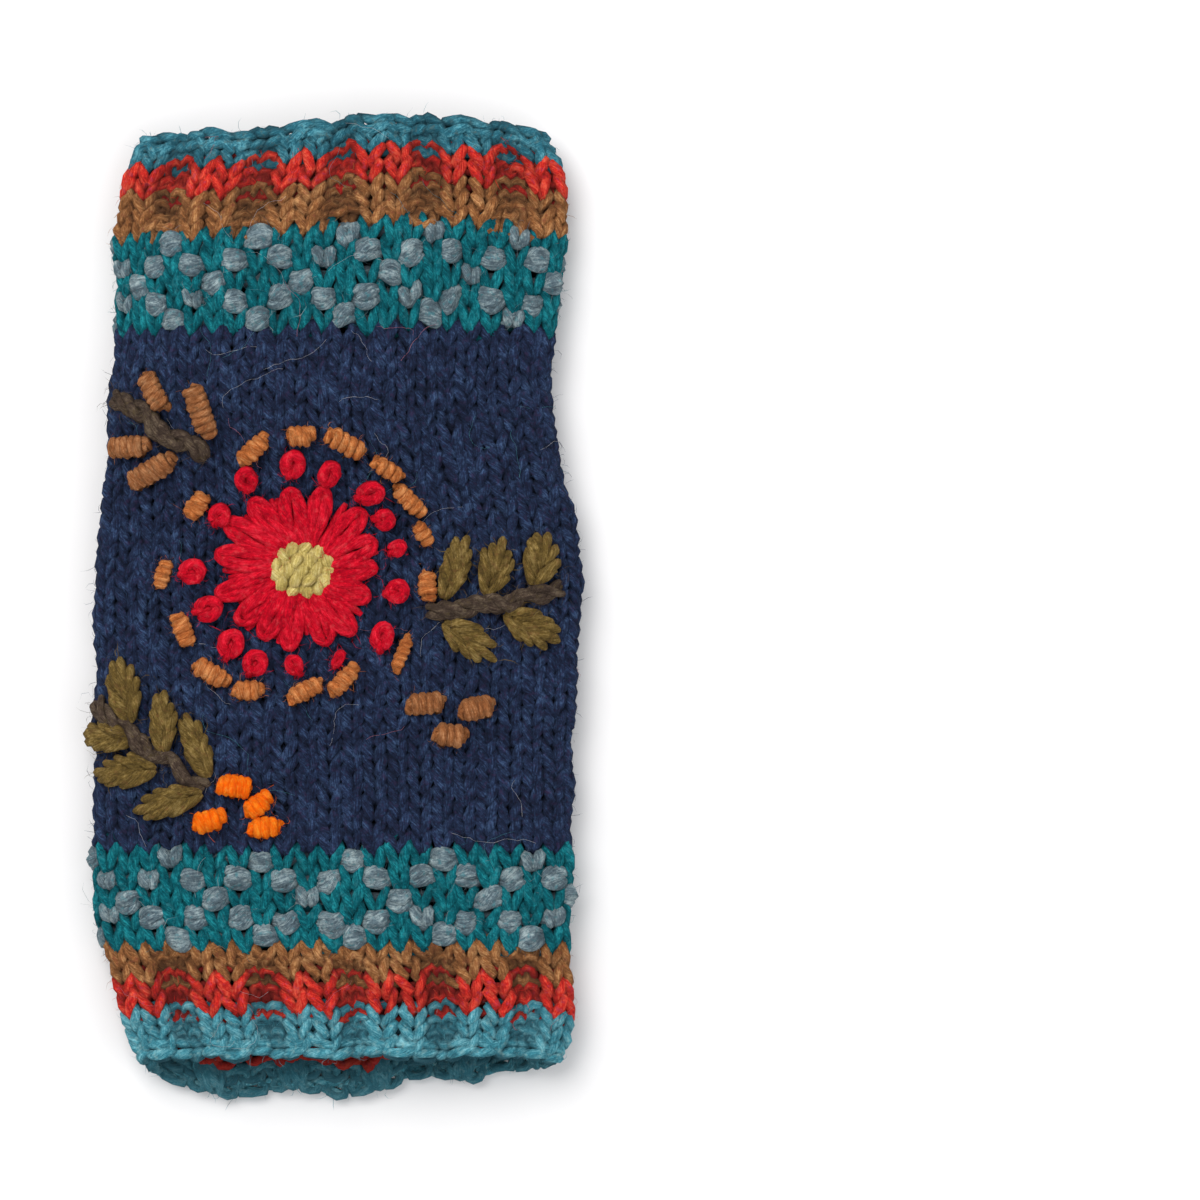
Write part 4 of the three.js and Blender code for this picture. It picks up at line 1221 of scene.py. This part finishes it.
def leaf(bundle, x, y, long, wide, turn):
    """A fan of straight stitches either side of a middle one."""
    spot = Spot(x, y, turn)
    side = wide / 2 - LEAF_YARN * 0.8
    aside, tip = rng.normal(0, 0.15), rng.normal(0, 0.3)
    middle = [(-0.2 * long, 0.0, 0.7), (0.15 * long, aside, 1.7), (long / 2, tip, 0.3)]
    spot.stitch(bundle, middle, LEAF_YARN * 1.05, 0.4)
    for start, end, out in LEAF_STITCHES:
        for way in (-1, 1):
            wobble = rng.normal(0, 0.35, 2)
            ahead = end * long + wobble[0] + 0.04 * long * way
            aside = way * side * out + wobble[1] * 0.5
            halfway = (start + 0.55 * (end - start)) * long
            points = [(start * long, 0.2 * way, 0.5), (halfway, aside * 0.68, 1.6), (ahead, aside, 0.4)]
            spot.stitch(bundle, points, LEAF_YARN, 0.45)


def make_twig(bundle, points):
    """Strands wound loosely round each other along points seen from above."""
    line = smooth_path([(*point, 0) for point in points], 0.8)[:, :2]
    turn, along = plan_to_cloth(line[:, 0], line[:, 1])
    reach = running(np.linalg.norm(np.diff(line, axis=0), axis=1))
    way = unit(np.gradient(line, axis=0))
    for start in 2 * np.pi * np.arange(TWIG_STRANDS) / TWIG_STRANDS:
        phase = 2 * np.pi * reach / TWIG_PITCH + start + np.cumsum(rng.normal(0, 0.12, len(reach)))
        offset = rng.uniform(1.0, 1.35) * np.cos(phase)
        lift = 1.0 + 0.55 * np.sin(phase)
        lift[0] = lift[-1] = 0.2
        t = turn - offset * way[:, 1] / hand.girth_at(along)
        position, normal = hand.at(t, along + offset * way[:, 0])
        radius = tapered(len(lift), TWIG_YARN, 0.6, 0.05)
        bundle.add(position + normal * lift[:, None], normal, radius, closed=False)


def make_spray(node, leaves, points):
    if leaves:
        blades = Bundle()
        for row in leaves:
            leaf(blades, *row)
        fuzz_count = LEAF_FUZZ * len(leaves)
        blades.build(node + "_leaves", "olive", node, node + "_leaf_fuzz", fuzz_count, lift=0.35)
    twig = Bundle()
    make_twig(twig, points)
    twig.build(node + "_twig", "bark", node, node + "_twig_fuzz", TWIG_FUZZ, lift=0.6)


make_spray("little_finger_spray", LITTLE_FINGER_LEAVES, LITTLE_FINGER_STEM)
make_spray("thumb_side_spray", THUMB_SIDE_LEAVES, THUMB_SIDE_STEM)
make_spray("sprig_stem", [], SPRIG_STEM)


def make_strays(name, yarn, count):
    """Long single fibres that wander loosely over the back and the palm."""
    bundle = Bundle(3)
    for _ in range(count):
        steps = int(rng.integers(9, 16))
        heading = rng.uniform(0, 2 * math.pi) + np.cumsum(rng.normal(0, 0.35, steps))
        stride = rng.uniform(0.7, 1.3)
        turn = rng.uniform(0, 1) + np.cumsum(stride * np.cos(heading)) / STRAY_GIRTH
        along = np.clip(rng.uniform(-88, 90) + np.cumsum(stride * np.sin(heading)), *STRAY_ENDS)
        height = 0.3 + np.abs(np.convolve(rng.normal(0, 0.7, steps + 4), np.ones(5) / 5, "valid"))
        position, normal = hand.at(turn, along)
        points = position + normal * height[:, None]
        points[:, 2] = np.maximum(points[:, 2], 0.1)
        bundle.add(points, normal, STRAY_THICK, False)
    bundle.build(name, yarn, "hand_tube")


make_strays("pale_strays", "pale", 46)
make_strays("pink_strays", "pink", 22)
make_strays("blue_strays", "sea", 40)


# The floor, the light and the camera
def make_floor():
    mesh = bpy.data.meshes.new("floor")
    square = [(-1, -1), (1, -1), (1, 1), (-1, 1)]
    corners = [(x * FLOOR_HALF, y * FLOOR_HALF, -REST_DEPTH / 1000) for x, y in square]
    mesh.from_pydata(corners, [], [(0, 1, 2, 3)])
    floor = bpy.data.objects.new("floor", mesh)
    bpy.context.scene.collection.objects.link(floor)
    material = bpy.data.materials.new("floor_paint")
    material.use_nodes = True
    shader = material.node_tree.nodes["Principled BSDF"]
    shader.inputs["Base Color"].default_value = (*FLOOR_GREY, 1)
    shader.inputs["Roughness"].default_value = 0.8
    mesh.materials.append(material)


def make_light(name, place, size, watts, colour):
    light = bpy.data.lights.new(name, "AREA")
    light.size = size
    light.energy = watts
    light.color = colour
    lamp = bpy.data.objects.new(name, light)
    lamp.location = place
    direction = -np.array(place)
    lamp.rotation_euler = (
        math.atan2(math.hypot(direction[0], direction[1]), -direction[2]),
        0,
        math.atan2(direction[0], -direction[1]) + math.pi,
    )
    bpy.context.scene.collection.objects.link(lamp)


make_floor()
for light_row in LIGHTS:
    make_light(*light_row)
world = bpy.data.worlds.new("studio")
world.use_nodes = True
background = world.node_tree.nodes["Background"]
background.inputs["Color"].default_value = (1, 1, 1, 1)
background.inputs["Strength"].default_value = WORLD_STRENGTH
bpy.context.scene.world = world

camera_data = bpy.data.cameras.new("photo_view")
camera_data.lens = LENS
camera_data.sensor_width = SENSOR
camera = bpy.data.objects.new("photo_view", camera_data)
camera.location = (
    ((PHOTO_PIXELS / 2 - LAYOUT_PIXEL[0]) * PIXEL + SHIFT[0]) / 1000,
    (-(PHOTO_PIXELS / 2 - LAYOUT_PIXEL[1]) * PIXEL + SHIFT[1]) / 1000,
    (PHOTO_PIXELS * PIXEL * LENS / SENSOR + FOCUS_LEVEL) / 1000,
)
bpy.context.scene.collection.objects.link(camera)
bpy.context.scene.camera = camera
bpy.context.scene.view_settings.view_transform = "Standard"
